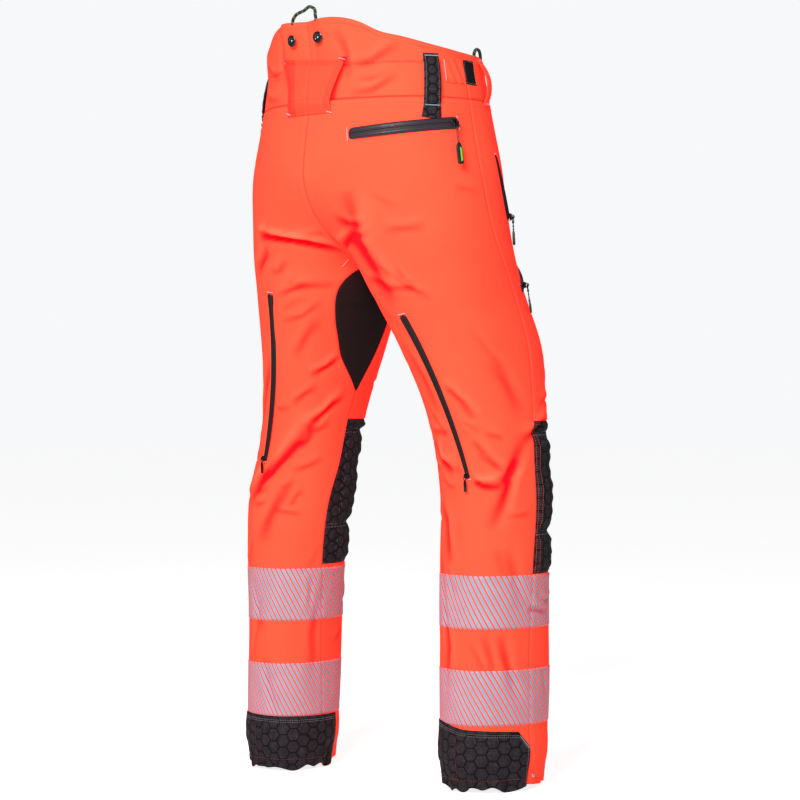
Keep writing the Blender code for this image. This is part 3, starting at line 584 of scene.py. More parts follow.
class Graph:
    """A material with one Principled shader, and short words for adding its nodes."""

    def __init__(self, name, colour, roughness, metallic=0.0, sheen=0.0, coat=0.0, emission=None, specular=0.5):
        self.material = bpy.data.materials.new(name)
        self.material.use_nodes = True
        self.tree = self.material.node_tree
        self.shader = self.tree.nodes["Principled BSDF"]
        self.paint(Base_Color=(*colour, 1), Roughness=roughness, Metallic=metallic, Sheen_Weight=sheen,
                   Sheen_Roughness=0.5, Coat_Weight=coat, Specular_IOR_Level=specular)
        if emission:
            self.paint(Emission_Color=(*emission, 1), Emission_Strength=1.0)

    def paint(self, **inputs):
        for key, value in inputs.items():
            self.feed(self.shader.inputs[key.replace("_", " ")], value)
        return self.material

    def node(self, kind, **inputs):
        node = self.tree.nodes.new(kind)
        for key, value in inputs.items():
            if hasattr(node, key):
                setattr(node, key, value)
            else:
                self.feed(node.inputs[key.replace("_", " ")], value)
        return node

    def feed(self, socket, value):
        if isinstance(value, Value):
            self.tree.links.new(value.socket, socket)
        else:
            socket.default_value = value

    def out(self, node, which=0):
        return Value(self, node.outputs[which])

    def math(self, operation, *values):
        node = self.node("ShaderNodeMath", operation=operation)
        for socket, value in zip(node.inputs, values):
            self.feed(socket, value)
        return self.out(node)

    def wave(self, value, pitch):
        return self.math("SINE", value * (WAVE / pitch))

    def mix(self, share, first, second):
        node = self.node("ShaderNodeMix", data_type="RGBA")
        self.feed(node.inputs[0], share)
        for socket, value in ((node.inputs[6], first), (node.inputs[7], second)):
            self.feed(socket, (*value, 1) if isinstance(value, tuple) else value)
        return self.out(node, 2)

    def ramp(self, value, low, high):
        return self.out(self.node("ShaderNodeMapRange", Value=value, From_Min=low, From_Max=high))

    def millimetres(self, kind):
        coordinates = self.node("ShaderNodeTexCoord")
        scaled = self.node("ShaderNodeVectorMath", operation="SCALE", Scale=1000.0)
        self.feed(scaled.inputs[0], self.out(coordinates, kind))
        return self.out(scaled)

    def apart(self, vector):
        node = self.node("ShaderNodeSeparateXYZ")
        self.feed(node.inputs[0], vector)
        return self.out(node, 0), self.out(node, 1)

    def uv(self):
        """The cloth's own coordinates in millimetres: both, round, up."""
        where = self.millimetres("UV")
        return (where, *self.apart(where))

    def noise(self, where, size, detail=2.0, roughness=0.5):
        return self.out(self.node("ShaderNodeTexNoise", Scale=1.0 / size, Detail=detail, Roughness=roughness,
                                  Vector=where))

    def bump(self, height, distance, strength=1.0):
        return self.out(self.node("ShaderNodeBump", Distance=distance, Strength=strength, Height=height), "Normal")


PAINTED_GLOW = (0.80, 0.0, 0.004)           # painted glow for the fluorescent dye: a constant red emission that keeps the cloth red in its shade
HIVIS_COLOUR = (0.72, 0.116, 0.050)
# painted shade for the bottoms of creases, and painted highlight for the ridges
PAINTED_CREASE_SHADE = (0.60, 0.004, 0.010)
PAINTED_RIDGE_HIGHLIGHT = (0.82, 0.19, 0.095)
TWILL_PITCH = 0.75                  # patterns are in millimetres
STRIPE_PITCH = 6.6
DOT_PITCH = 1.7


def hivis_nodes(g, where, u, v):
    """The dyed cloth's colour with painted shade in its creases and painted highlight on its ridges, and its twill's
    height.
    """
    patchy = g.noise(where, 70.0, 3.0)
    grain = g.noise(where, 1.3, 2.0)
    share = 0.6 * g.ramp(patchy, 0.35, 0.65) + 0.4 * g.ramp(grain, 0.3, 0.7)
    colour = g.mix(share, tuple(0.93 * c for c in HIVIS_COLOUR), tuple(1.06 * c for c in HIVIS_COLOUR))
    # painted shade and highlight, read from the relief of the folds and seams
    painted_fold_fac = g.out(g.node("ShaderNodeAttribute", attribute_name="painted_fold_light"), "Fac")
    colour = g.mix(g.ramp(painted_fold_fac, 0.0, -1.0), colour, PAINTED_CREASE_SHADE)
    colour = g.mix(g.ramp(painted_fold_fac, 0.0, 1.2), colour, PAINTED_RIDGE_HIGHLIGHT)
    ribs = g.wave(u + v * 0.8, TWILL_PITCH)
    cross = g.wave(v, TWILL_PITCH * 0.5)
    return colour, 0.5 + (0.35 * ribs + 0.15 * cross) + 0.6 * grain


def make_hivis():
    # the dyed cloth carries a painted red glow as emission
    g = Graph("hivis_cloth", HIVIS_COLOUR, 0.9, sheen=0.02, emission=PAINTED_GLOW, specular=0.08)
    where, u, v = g.uv()
    colour, height = hivis_nodes(g, where, u, v)
    return g.paint(Base_Color=colour, Roughness=0.80 + 0.2 * g.noise(where, 12.0, 2.0),
                   Normal=g.bump(height, 0.00008, 0.35))


def make_reflective():
    """Slanting silver stripes heat-pressed on the dyed cloth."""
    g = Graph("striped_reflective", (0.4, 0.5, 0.6), 0.4)
    where, u, v = g.uv()
    cloth, height = hivis_nodes(g, where, u, v)
    phase = g.math("FRACT", (u * 0.866 + v * 0.5) / STRIPE_PITCH)
    stripe = g.ramp(phase, 0.02, 0.07) * g.ramp(phase, 0.70, 0.65)
    beads = g.noise(where, 0.35, 1.0)
    silver = g.mix(g.ramp(g.noise(where, 25.0, 2.0), 0.3, 0.7), (0.28, 0.43, 0.58), (0.34, 0.48, 0.63))
    # the gaps between the stripes carry the dyed cloth's painted red glow; the silver stripes have none
    return g.paint(Base_Color=g.mix(stripe, cloth, silver), Emission_Color=g.mix(stripe, PAINTED_GLOW, (0.0, 0.0, 0.0)),
                   Emission_Strength=1.0, Roughness=0.68 - stripe * 0.3,
                   Normal=g.bump(stripe * 1.2 + beads * 0.4 + 0.4 * height, 0.0001, 0.6))


def hex_edge(g, u, v, side, rise):
    """Millimetres from each place to its hexagon's edge, as hex_relief lays them out."""
    wide, high = 3 * side, math.sqrt(3) * side
    best = None
    for shift_u, shift_v in ((0, 0), (wide / 2, high / 2)):
        x = g.math("ABSOLUTE", g.math("WRAP", u + shift_u, wide / 2, -wide / 2))
        y = g.math("ABSOLUTE", g.math("WRAP", v + (shift_v - rise), high / 2, -high / 2))
        reach = g.math("MAXIMUM", y, y * 0.5 + x * (math.sqrt(3) / 2))
        best = reach if best is None else g.math("MINIMUM", best, reach)
    return high / 2 - best


def make_hex_cloth(name, side, rise=0.0):
    """Dark cloth with a dotted weave on each hexagon and a black groove between them."""
    g = Graph(name, (0.02, 0.015, 0.02), 0.6, sheen=0.01, specular=0.14)
    where, u, v = g.uv()
    inside = g.ramp(hex_edge(g, u, v, side, rise), 0.5, 1.7)
    dots = g.node("ShaderNodeTexVoronoi", Scale=1.0 / DOT_PITCH, Randomness=0.2, Vector=where)
    spot = g.ramp(g.out(dots, "Distance"), 0.42, 0.22)
    tone = g.mix(spot * inside, (0.006, 0.004, 0.006), (0.125, 0.104, 0.120))
    grain = g.noise(where, 9.0, 3.0)
    return g.paint(Base_Color=g.mix(g.ramp(grain, 0.2, 1.1), tone, (0.004, 0.003, 0.004)),
                   Roughness=0.68 - spot * 0.2, Normal=g.bump(spot + 0.5 * grain, 0.0002, 0.5))


def make_dark_cloth(name, colour, lighter, pitch, roughness):
    g = Graph(name, colour, roughness, sheen=0.02, specular=0.2)
    where, u, v = g.uv()
    weave = 0.5 + 0.5 * (g.wave(u, pitch) * g.wave(v, pitch))
    grain = g.noise(where, 2.0, 3.0)
    share = 0.55 * g.ramp(grain, 0.3, 0.7) + 0.45 * weave
    return g.paint(Base_Color=g.mix(share, colour, lighter), Normal=g.bump(weave + 0.5 * grain, 0.00018, 0.6))


def make_tape(name, dark, light):
    """Zip tape under a rubbery film, with faint lines along it."""
    g = Graph(name, light, 0.36, coat=0.05, specular=0.3)
    where, _, v = g.uv()
    lines = g.wave(v, 2.2)
    grain = g.noise(where, 1.2, 3.0)
    film = g.ramp(lines * 0.3 + grain, 0.1, 0.9)
    return g.paint(Base_Color=g.mix(film, dark, light), Roughness=g.ramp(g.noise(where, 5.0, 2.0), -0.4, 1.5),
                   Normal=g.bump(lines + grain, 0.0001, 0.5))


def make_hard(name, colour, lighter, roughness, metallic=0.0, coat=0.0, grain_size=1.5, depth=0.00005):
    """Moulded or lacquered hard stuff with slight wear and unevenness."""
    g = Graph(name, colour, roughness, metallic, coat=coat)
    where = g.millimetres("Object")
    grain = g.noise(where, grain_size, 4.0, 0.6)
    blotch = g.noise(where, grain_size * 6, 2.0)
    return g.paint(Base_Color=g.mix(g.ramp(blotch, 0.35, 0.7), colour, lighter),
                   Roughness=(roughness - 0.08) + grain * 0.18, Normal=g.bump(grain, depth, 0.5))


def make_thread(name, colour, lighter, glow=None):
    g = Graph(name, colour, 0.55, sheen=0.2, emission=glow)
    twist = g.noise(g.millimetres("Object"), 0.35, 2.0)
    return g.paint(Base_Color=g.mix(g.ramp(twist, 0.3, 0.7), colour, lighter), Normal=g.bump(twist, 0.0001, 0.6))


def make_braid():
    """Black braid with lime flecks that wind round it."""
    g = Graph("flecked_braid", (0.01, 0.011, 0.01), 0.6, sheen=0.15)
    along, around = g.apart(g.out(g.node("ShaderNodeTexCoord"), "UV"))
    strands = (g.math("SINE", along * 230.0 + around * 25.13)
               * g.math("SINE", along * 230.0 - around * 25.13))
    fleck = g.math("FRACT", along * 9.0 + around)
    lime = g.ramp(fleck, 0.80, 0.83) * g.ramp(strands, -0.1, 0.15)
    return g.paint(Base_Color=g.mix(lime, (0.010, 0.011, 0.010), (0.22, 0.52, 0.02)),
                   Normal=g.bump(strands, 0.0004, 0.8))


HIVIS = make_hivis()
REFLECTIVE = make_reflective()
HEX_SIDE = 0.0104
WEB_HEX_SIDE = 0.0080
WEB_HEX_RISE = 0.9795
STRETCH = make_dark_cloth("stretch_weave", (0.008, 0.004, 0.004), (0.018, 0.009, 0.009), 1.1, 0.85)
HEX_CLOTH = make_hex_cloth("hex_quilt", HEX_SIDE * 1000)
WEB_CLOTH = make_hex_cloth("hex_webbing", WEB_HEX_SIDE * 1000, WEB_HEX_RISE * 1000)
LINING = make_dark_cloth("mesh_lining", (0.02, 0.02, 0.022), (0.06, 0.06, 0.064), 1.6, 0.8)
PAD_COVER = make_dark_cloth("pad_cover", (0.03, 0.03, 0.034), (0.085, 0.085, 0.09), 1.2, 0.8)
PILE = make_dark_cloth("hook_pile", (0.002, 0.002, 0.002), (0.010, 0.010, 0.010), 0.7, 0.95)
TAPE = make_tape("coated_zip_tape", (0.020, 0.013, 0.018), (0.052, 0.038, 0.048))
TAPE_BLACK = make_tape("black_zip_tape", (0.005, 0.004, 0.004), (0.014, 0.010, 0.011))
LACQUER = make_hard("black_lacquered_zinc", (0.02, 0.02, 0.022), (0.05, 0.05, 0.055), 0.32, 0.85)
BARE_METAL = make_hard("nickel_pin", (0.55, 0.55, 0.58), (0.72, 0.72, 0.75), 0.28, 1.0)
RUBBER = make_hard("pull_rubber_black", (0.010, 0.010, 0.011), (0.022, 0.022, 0.023), 0.5, grain_size=0.6)
LIME = make_hard("pull_rubber_lime", (0.16, 0.60, 0.03), (0.24, 0.72, 0.05), 0.45, grain_size=0.6)
GLOSS = make_hard("button_gloss", (0.006, 0.006, 0.008), (0.014, 0.014, 0.017), 0.16, coat=0.6, grain_size=3.0,
                  depth=0.00002)
THREADS = {
    # the tone thread has a painted red glow as emission, as the dyed cloth does
    "tone": (make_thread("thread_hivis", (0.80, 0.05, 0.03), (0.95, 0.10, 0.05), (0.55, 0.003, 0.012)), "hivis_shell"),
    "pale": (make_thread("thread_pale", (0.72, 0.50, 0.60), (0.86, 0.70, 0.78)), "hivis_shell"),
    "blue": (make_thread("thread_blue", (0.30, 0.46, 0.62), (0.48, 0.66, 0.82)), "webbing"),
    "grey": (make_thread("thread_grey", (0.34, 0.34, 0.38), (0.50, 0.50, 0.55)), "hex_panel"),
    "red": (make_thread("thread_red", (0.55, 0.04, 0.03), (0.72, 0.07, 0.05)), "hivis_shell"),
}
BRAID = make_braid()


# ---------------------------------------------------------------- mesh helpers
def linked(name, data):
    thing = bpy.data.objects.new(name, data)
    bpy.context.scene.collection.objects.link(thing)
    return thing


def mesh_of(verts, faces, name, *materials):
    mesh = bpy.data.meshes.new(name)
    mesh.from_pydata(verts, [], faces)
    for material in materials:
        mesh.materials.append(material)
    mesh.shade_smooth()
    return mesh


def object_of(name, verts, faces, material, uvs=None, inner=None):
    materials = (material, inner) if inner else (material,)
    mesh = mesh_of(np.asarray(verts).reshape(-1, 3).tolist(), faces, name, *materials)
    if uvs is not None:
        layer = mesh.uv_layers.new(name="cloth")
        loops = np.empty(len(mesh.loops), dtype=np.int64)
        mesh.loops.foreach_get("vertex_index", loops)
        layer.data.foreach_set("uv", np.asarray(uvs, np.float32).reshape(-1, 2)[loops].ravel())
    return linked(name, mesh)


def grid_faces(rows, cols, closed=False, flip=False):
    r, c = np.meshgrid(np.arange(rows - 1), np.arange(cols if closed else cols - 1), indexing="ij")
    d = (c + 1) % cols
    quads = np.stack([r * cols + c, r * cols + d, (r + 1) * cols + d, (r + 1) * cols + c], -1).reshape(-1, 4)
    return (quads[:, ::-1] if flip else quads).tolist()


def settle(thing, body, nodes=()):
    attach(thing, body)
    if nodes:
        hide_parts(*([nodes] if isinstance(nodes, str) else nodes))
    return thing


def sewn(name, points, flat, material, nodes, thickness, flip, inner=None, closed=False, body="trousers"):
    """A sheet over a grid of points, given its pattern, its thickness and its place in the frame."""
    rows, cols = points.shape[:2]
    thing = object_of(name, points, grid_faces(rows, cols, closed, flip), material, flat, inner)
    solid = thing.modifiers.new("thickness", "SOLIDIFY")
    solid.thickness = thickness
    solid.offset = -1
    if inner:
        solid.material_offset = 1
    return settle(thing, body, nodes)


def crossed(round_it, up):
    """A grid's two coordinates, from the steps round it and the steps up it."""
    return np.broadcast_arrays(round_it, np.asarray(up)[:, None])


def pattern(turns, heights):
    return np.stack([turns * GIRTH, heights], -1)


def cloth_grid(name, side, turns, heights, material, nodes, lift=0.0, thickness=0.0012, inner=None,
               closed=False, more=None):
    """Cloth over a grid of turns and heights, with patterns laid out in metres."""
    points = surface(side, turns, heights, lift)
    if more is not None:
        points = points + surface_out(side, turns, heights) * more[..., None]
    lap = GIRTH * (-1 if closed and side == LEFT else 1)
    thing = sewn(name, points, np.stack([turns * lap, heights], -1), material, nodes, thickness,
                 side == LEFT, inner, closed)
    # painted shade in the creases and painted highlight on the ridges of the dyed cloth
    if material in (HIVIS, REFLECTIVE):
        mark_painted_light(thing, painted_fold_light(side, turns, heights))
    if closed:
        mend_seam_uv(thing, turns.shape[1], lap)


# stores painted shade and highlight, for the dyed cloth's colour
def mark_painted_light(thing, values):
    layer = thing.data.attributes.new("painted_fold_light", "FLOAT", "POINT")
    layer.data.foreach_set("value", np.ascontiguousarray(values, np.float32).ravel())


def mend_seam_uv(thing, cols, lap):
    """The last column of a closed ring runs on to the pattern of a full turn."""
    mesh = thing.data
    layer = mesh.uv_layers[0].data
    for polygon in mesh.polygons:
        columns = [v % cols for v in polygon.vertices]
        if max(columns) == cols - 1 and min(columns) == 0:
            for loop, column in zip(polygon.loop_indices, columns):
                if column == 0:
                    layer[loop].uv[0] += lap


def fine_steps(low, high, step):
    """Places from low to high, closer together beside the seams at both."""
    near = np.array([0.0, 0.0008, 0.0016, 0.0026, 0.0042, 0.0062, 0.0080, 0.0094, 0.0108, 0.0130])
    start, end = low + near, high - near[::-1]
    count = max(2, int(round((end[0] - start[-1]) / step)))
    return np.concatenate([start, np.linspace(start[-1], end[0], count + 1)[1:-1], end])


STEP = 0.0030


def panel_grid(rows, first, last, width, step=STEP):
    """Turns and heights over a panel between two edges, each a function of the height."""
    heights = rows[:, None]
    share = fine_steps(0.0, width, step) / width
    turns = first(rows)[:, None] + (last(rows) - first(rows))[:, None] * share
    return turns, np.broadcast_to(heights, turns.shape)


def drawn_up(side, turns, heights):
    """Heights with the bottom rows drawn up to the gathered hem's line."""
    u = turns * FULL_TURN
    s = 0.0 if side == LEFT else 2.4
    line = 0.0052 + 0.0024 * np.sin(5 * u + s) + 0.0026 * np.sin(11 * u + 2.2 * np.sin(2 * u + s) + s)
    return heights + line * smooth(0.05, 0.0, heights)


# ---------------------------------------------------------------- shell
KNEE_STEP = 0.0018


def make_shell():
    panels = (("back", "back_leg", 0.0, BELT_SEAM, back_edge, side_seam),
              ("thigh", "front_thigh", KNEE_TOP, BELT_SEAM, side_seam, front_edge),
              ("shin", "front_shin", 0.0, KNEE_BOTTOM, side_seam, front_edge))
    for word, side in SIDES.items():
        for name, node, bottom, top, first, last in panels:
            turns, heights = panel_grid(fine_steps(bottom, top, STEP * 1.05), first, last, 0.25)
            cloth_grid(f"shell_{name}_{word}", side, turns, drawn_up(side, turns, heights), HIVIS,
                       f"{node}_{word}", inner=LINING)
        rows = fine_steps(KNEE_BOTTOM, KNEE_TOP, KNEE_STEP)
        turns, heights = panel_grid(rows, side_seam, front_edge, 0.22, KNEE_STEP)
        more = hex_relief(turns * GIRTH, heights) * edge_fade(turns, heights)
        cloth_grid(f"knee_quilt_{word}", side, turns, heights, HEX_CLOTH, f"knee_panel_{word}",
                   inner=LINING, more=more)


def hex_relief(u, v, side=HEX_SIDE, depth=0.0009):
    """Pillowed hexagons with flat tops: their grooves and crowns, in metres."""
    wide, high = 3 * side, math.sqrt(3) * side
    best = None
    for du, dv in ((0, 0), (wide / 2, high / 2)):
        x = (u + du + wide / 2) % wide - wide / 2
        y = (v + dv + high / 2) % high - high / 2
        reach = np.maximum(np.abs(y), np.abs(y) * 0.5 + np.abs(x) * math.sqrt(3) / 2)
        best = reach if best is None else np.minimum(best, reach)
    return -depth * bell(high / 2 - best, 0.0011) + 0.0003 * (1 - (best / (high / 2)) ** 2)


def edge_fade(turns, heights, reach=0.006):
    """0 at a grid's edges and 1 inside."""
    u = np.minimum(turns - turns[:, :1], turns[:, -1:] - turns) * GIRTH
    v = np.minimum(heights - heights[:1], heights[-1:] - heights)
    return smooth(0.001, reach, u) * smooth(0.001, reach, v)


def make_gusset():
    across = np.linspace(-1, 1, 61)
    down = np.linspace(0.0, 0.985, 60)
    rows, flat = [], []
    for signed in [-d for d in down[:0:-1]] + list(down):
        side = LEFT if signed >= 0 else RIGHT
        middle = CROTCH_HEIGHT + abs(signed) * (GUSSET_TIP - CROTCH_HEIGHT)
        edge = GUSSET_APEX + abs(signed) * (GUSSET_TIP - GUSSET_APEX)
        heights = middle + (edge - middle) * across**2
        widths = np.where(across > 0, spline(GUSSET_BACK, edge)[..., 0], spline(GUSSET_FRONT, edge)[..., 0])
        turns = np.abs(across) * widths + (across < 0)
        drop = (fold_height(FOLDS, side, turns, heights) + seams(turns, heights)) * MM
        drop = drop * smooth(0.05, 0.12, abs(signed))
        row = joined(side, turns, heights) + skin_out(side, turns, heights) * drop[:, None] - WAIST_ORIGIN
        if signed == 0:
            row[:, 0] = 0
        rows.append(row)
        flat.append(np.stack([across * 0.06, np.full(across.shape, signed * 0.2)], -1))
    sewn("gusset_cloth", np.array(rows), np.array(flat), STRETCH, "crotch_gusset", 0.0012, False,
         LINING)


BAND_SPANS = {("left", "lower"): (0.0800, 0.1570), ("left", "upper"): (0.2190, 0.2950),
              ("right", "lower"): (0.0925, 0.1690), ("right", "upper"): (0.2260, 0.2995)}


def make_bands():
    for (word, place), (bottom, top) in BAND_SPANS.items():
        turns, heights = crossed(np.linspace(0, 1, 261)[:-1], np.linspace(bottom, top, 27))
        edge = np.minimum(heights - bottom, top - heights)
        cloth_grid(f"reflective_{place}_{word}", SIDES[word], turns, heights, REFLECTIVE, f"{place}_band_{word}",
                   lift=0.0002 + 0.0005 * smooth(0.0, 0.0022, edge), thickness=0.0004, closed=True)


CUFF_SEAMS = (0.0052, 0.0080)


def cuff_top(side, turn):
    """Top edge of the cuff's patch, cut off slantwise at its front corner."""
    if side == LEFT:
        level, corner = np.interp(turn, (-0.05, 0.30, 0.53), (0.079, 0.081, 0.083)), 0.083
    else:
        level, corner = np.interp(turn, (-0.05, 0.21, 0.31, 0.485), (0.098, 0.096, 0.088, 0.084)), 0.084
    return np.minimum(level, np.interp(turn, (0.0, 0.487, 0.530), (0.2, corner, 0.060)))


def make_cuffs():
    for word, side in SIDES.items():
        turns, share = crossed(np.linspace(-0.05, 0.529, 190), np.linspace(0, 1, 56))
        heights = share * cuff_top(side, turns)
        more = hex_relief(turns * GIRTH, heights) * edge_fade(turns, heights, 0.004)
        rim = np.minimum(np.minimum(turns - turns[:, :1], turns[:, -1:] - turns) * GIRTH,
                         cuff_top(side, turns) - heights)
        groove = sum(-0.0004 * bell(rim - at, 0.0009) for at in CUFF_SEAMS)
        rows = drawn_up(side, turns, heights) - 0.0012 * (share < 0.02)
        cloth_grid(f"cuff_quilt_{word}", side, turns, rows, HEX_CLOTH, f"hem_patch_{word}",
                   lift=0.0004 + 0.0016 * smooth(0.0, 0.0024, rim), thickness=0.0010,
                   more=more * smooth(0.006, 0.011, rim) + groove)


# ---------------------------------------------------------------- waistband
LOOP_BOTTOM, LOOP_HIGH = 0.9385, 0.0775     # the wide loop's lower edge, and how high it stands


def board(turn, height):
    """The stiff high back stands out flat, so that its corners leave the body's curve."""
    return 0.0075 * smooth(0.995, 1.060, height) * smooth(0.0, 0.062, turn) * smooth(0.125, 0.085, turn)


def wrapped(signed, heights, lift):
    """World points over the centre back, from a signed turn."""
    turn = np.abs(signed)
    out = np.empty(signed.shape + (3,))
    for side, mask in ((LEFT, signed >= 0), (RIGHT, signed < 0)):
        out[mask] = surface(side, turn[mask], heights[mask], (lift + board(turn, heights))[mask])
    return out


def make_waistband():
    signed, share = crossed(np.linspace(-0.497, 0.497, 300), np.linspace(0, 1, 44))
    turn = np.abs(signed)
    low = BELT_SEAM + 0 * turn[0]
    heights = low + (waist_top(turn[0]) - low) * share
    rim = (1 - share) * (heights[-1:] - heights[:1])
    puff = 0.0011 * np.sin(np.pi * np.clip((heights - 0.9595) / 0.044, 0, 1))
    puff = puff + 0.0009 * np.sin(np.pi * np.clip((heights - 1.005) / 0.03, 0, 1)) ** 0.5
    groove = -0.0009 * bell(heights - 1.0045, 0.0012) - 0.0005 * bell(rim - 0.007, 0.001)
    points = wrapped(signed, heights, puff + groove - 0.0016 * smooth(0.004, 0.0, rim))
    thing = sewn("waist_back", points, pattern(signed, heights), HIVIS, "waistband_back",
                 0.0034, True, LINING)
    # painted shade in the folds and grooves, painted highlight on the ridges, and a painted shadow along the wide
    # loop's edges
    painted_shading = np.where(signed >= 0, painted_fold_light(LEFT, turn, heights), painted_fold_light(RIGHT, turn, heights))
    share = (heights - LOOP_BOTTOM) / LOOP_HIGH
    beside = (turn - loop_half(share)) * 0.5 - 0.001
    mark_painted_light(thing, painted_shading + 400 * groove - 0.9 * bell(beside, 0.0045) * ((share > 0) & (share < 1)))
    for word, side in SIDES.items():
        turns, share = crossed(np.linspace(0.4965, 0.9985, 130), np.linspace(0, 1, 30))
        heights = BELT_SEAM + (waist_top(turns) - BELT_SEAM) * share
        rim = np.minimum(heights - BELT_SEAM, waist_top(turns) - heights)
        cloth_grid(f"waist_front_{word}", side, turns, heights, HIVIS, f"waistband_{word}",
                   lift=0.0010 * smooth(0.0, 0.005, rim) - 0.0006 * bell(rim - 0.007, 0.001), thickness=0.0030,
                   inner=LINING)


def loop_half(share):
    """Half the wide loop's reach round the waist, from its bottom to its top."""
    return 0.0735 + 0.035 * smooth(0.15, 1.1, share) - 0.003 * np.sin(np.pi * share)


def make_wide_loop():
    a, b = crossed(np.linspace(-1, 1, 72), np.linspace(0, 1, 60))
    half = loop_half(b)
    signed = a * half
    heights = LOOP_BOTTOM + LOOP_HIGH * b + 0.006 * a * b
    free = np.minimum(smooth(0.0, 0.28, b), smooth(1.0, 0.72, b))
    lift = 0.0012 + 0.0075 * free + 0.0012 * np.sin(3.0 * a + 2.2 * b) * free - 0.0020 * np.abs(a) ** 4 * free
    rim = np.minimum((1 - np.abs(a)) * half * GIRTH, np.minimum(b, 1 - b) * LOOP_HIGH)
    lift = lift + 0.0003 * smooth(0.010, 0.008, rim) - 0.0005 * bell(rim - 0.0085, 0.0009)
    thing = sewn("wide_belt_loop", wrapped(signed, heights, lift), pattern(signed, heights), HIVIS, "back_belt_loop",
                 0.0014, True)
    # painted shade: the whole loop darker, more in a band along its stitched edge, and more on its end at the wearer's
    # left
    mark_painted_light(thing, -0.20 - 0.5 * smooth(0.0095, 0.0075, rim) * smooth(0.0, 0.002, rim) * 0.3 - 0.25 * (a > 0.55))


# name, CAD node, material, slot, turn at the bottom and the top, bottom, top, width, how far it stands off, quilted
STRAPS = (
    ("webbing_strap", "webbing_loop", WEB_CLOTH, "webbing", 0.3495, 0.364, 0.941, 1.017, 0.026, 0.006, True),
    ("side_strap", "side_belt_loop", HIVIS, "hivis_shell", 0.598, 0.602, 0.950, 1.017, 0.017, 0.011, False),
)
WAIST_GIRTH = 0.5                   # length of a turn at the waist, for small pieces


def standing_off(standoff, share):
    """How far a strap sewn at both its ends stands off between them."""
    return standoff * np.sin(np.pi * np.clip((share - 0.06) / 0.88, 0, 1)) ** 0.7


def make_straps():
    for word, side in SIDES.items():
        for name, node, material, slot, turn_low, turn_high, bottom, top, width, standoff, quilted in STRAPS:
            a, b = crossed(np.linspace(-1, 1, 17), np.linspace(0, 1, 60))
            heights = bottom + (top - bottom) * b
            turns = turn_low + (turn_high - turn_low) * b + a * width / 2 / WAIST_GIRTH
            lift = 0.0022 + standing_off(standoff, b) - 0.0006 * np.abs(a) ** 6
            flat = np.stack([a * width / 2, heights], -1)
            more = web_relief(flat) * (np.abs(a) < 0.93) if quilted else 0 * a
            points = surface(side, turns, heights, lift) + skin_out(side, turns, heights) * more[..., None]
            sewn(f"{name}_{word}", points, flat, material, f"{node}_{word}", 0.0016, side == LEFT)
        # the webbing's tail, tucked under below its tack
        a, b = crossed(np.linspace(-1, 1, 15), np.linspace(0, 1, 14))
        turns = 0.3495 - 0.006 * b + a * (0.026 + 0.002 * b)
        heights = 0.9425 - 0.0165 * b - 0.002 * a * b
        flat = np.stack([a * 0.013, heights], -1)
        points = surface(side, turns, heights, 0.0030 - 0.0016 * b)
        points = points + skin_out(side, turns, heights) * web_relief(flat)[..., None]
        sewn(f"webbing_tail_{word}", points, flat, WEB_CLOTH, (), 0.0012, side == RIGHT)


def web_relief(flat):
    return hex_relief(flat[..., 0], flat[..., 1] - WEB_HEX_RISE, WEB_HEX_SIDE, 0.0009)


def rounded(a, b, corner, half_a, half_b):
    """A grid with its corners rounded off, in metres, and how far each place lies from its edge."""
    x, y = a * half_a, b * half_b
    cx, cy = half_a - corner, half_b - corner
    ex, ey = np.maximum(np.abs(x) - cx, 0), np.maximum(np.abs(y) - cy, 0)
    long = np.hypot(ex, ey)
    pull = np.where(long > corner, corner / np.maximum(long, 1e-9), 1.0)
    x = np.sign(x) * (np.minimum(np.abs(x), cx) + ex * pull)
    y = np.sign(y) * (np.minimum(np.abs(y), cy) + ey * pull)
    return x, y, np.minimum(half_a - np.abs(x), half_b - np.abs(y))


TAB_TURN, PATCH_TURN, TAB_HEIGHT = 0.447, 0.5255, 0.9945


def make_tabs():
    for word, side in SIDES.items():
        a, b = crossed(np.linspace(-1, 1, 50), np.linspace(-1, 1, 36))
        x, y, rim = rounded(a, b, 0.003, 0.0225, 0.0175)
        lift = 0.0017 + 0.0010 * smooth(0.0, 0.003, rim) - 0.0006 * bell(rim - 0.0042, 0.0008)
        lift = lift + 0.0006 * np.sin(9 * a + 3 * b)
        points = surface(side, TAB_TURN + x / WAIST_GIRTH, TAB_HEIGHT + y, lift)
        sewn(f"waist_strap_{word}", points, np.stack([x, y], -1), HIVIS, f"waist_tab_{word}", 0.0014,
             side == LEFT, body=f"waist_tab_{word}")
        x, y, rim = rounded(*crossed(np.linspace(-1, 1, 40), np.linspace(-1, 1, 44)), 0.002, 0.0152, 0.0178)
        fuzz = np.random.default_rng(7).normal(0, 0.00016, x.shape)
        lift = 0.0006 + 0.0010 * smooth(0.0, 0.0015, rim) + fuzz * (rim > 0.002)
        points = surface(side, PATCH_TURN + x / WAIST_GIRTH, TAB_HEIGHT + y, lift)
        sewn(f"pile_patch_{word}", points, np.stack([x, y], -1), PILE, f"tab_loop_patch_{word}",
             0.0006, side == LEFT)


# ---------------------------------------------------------------- pads and pocket bags inside
def under_skin(side, turns, heights, depth):
    return skin(side, turns, heights) - skin_out(side, turns, heights) * np.asarray(depth)[..., None] - WAIST_ORIGIN


PAD_TURNS, PAD_HEIGHTS = (0.585, 0.90), (0.055, 0.925)
BAGS = {
    "back_pocket_bag": (RIGHT, 0.13, 0.42, 0.775, 0.905),
    "hand_pocket_bag_left": (LEFT, 0.60, 0.82, 0.715, 0.88),
    "hand_pocket_bag_right": (RIGHT, 0.60, 0.82, 0.745, 0.88),
    "thigh_pocket_bag": (RIGHT, 0.60, 0.78, 0.57, 0.74),
}


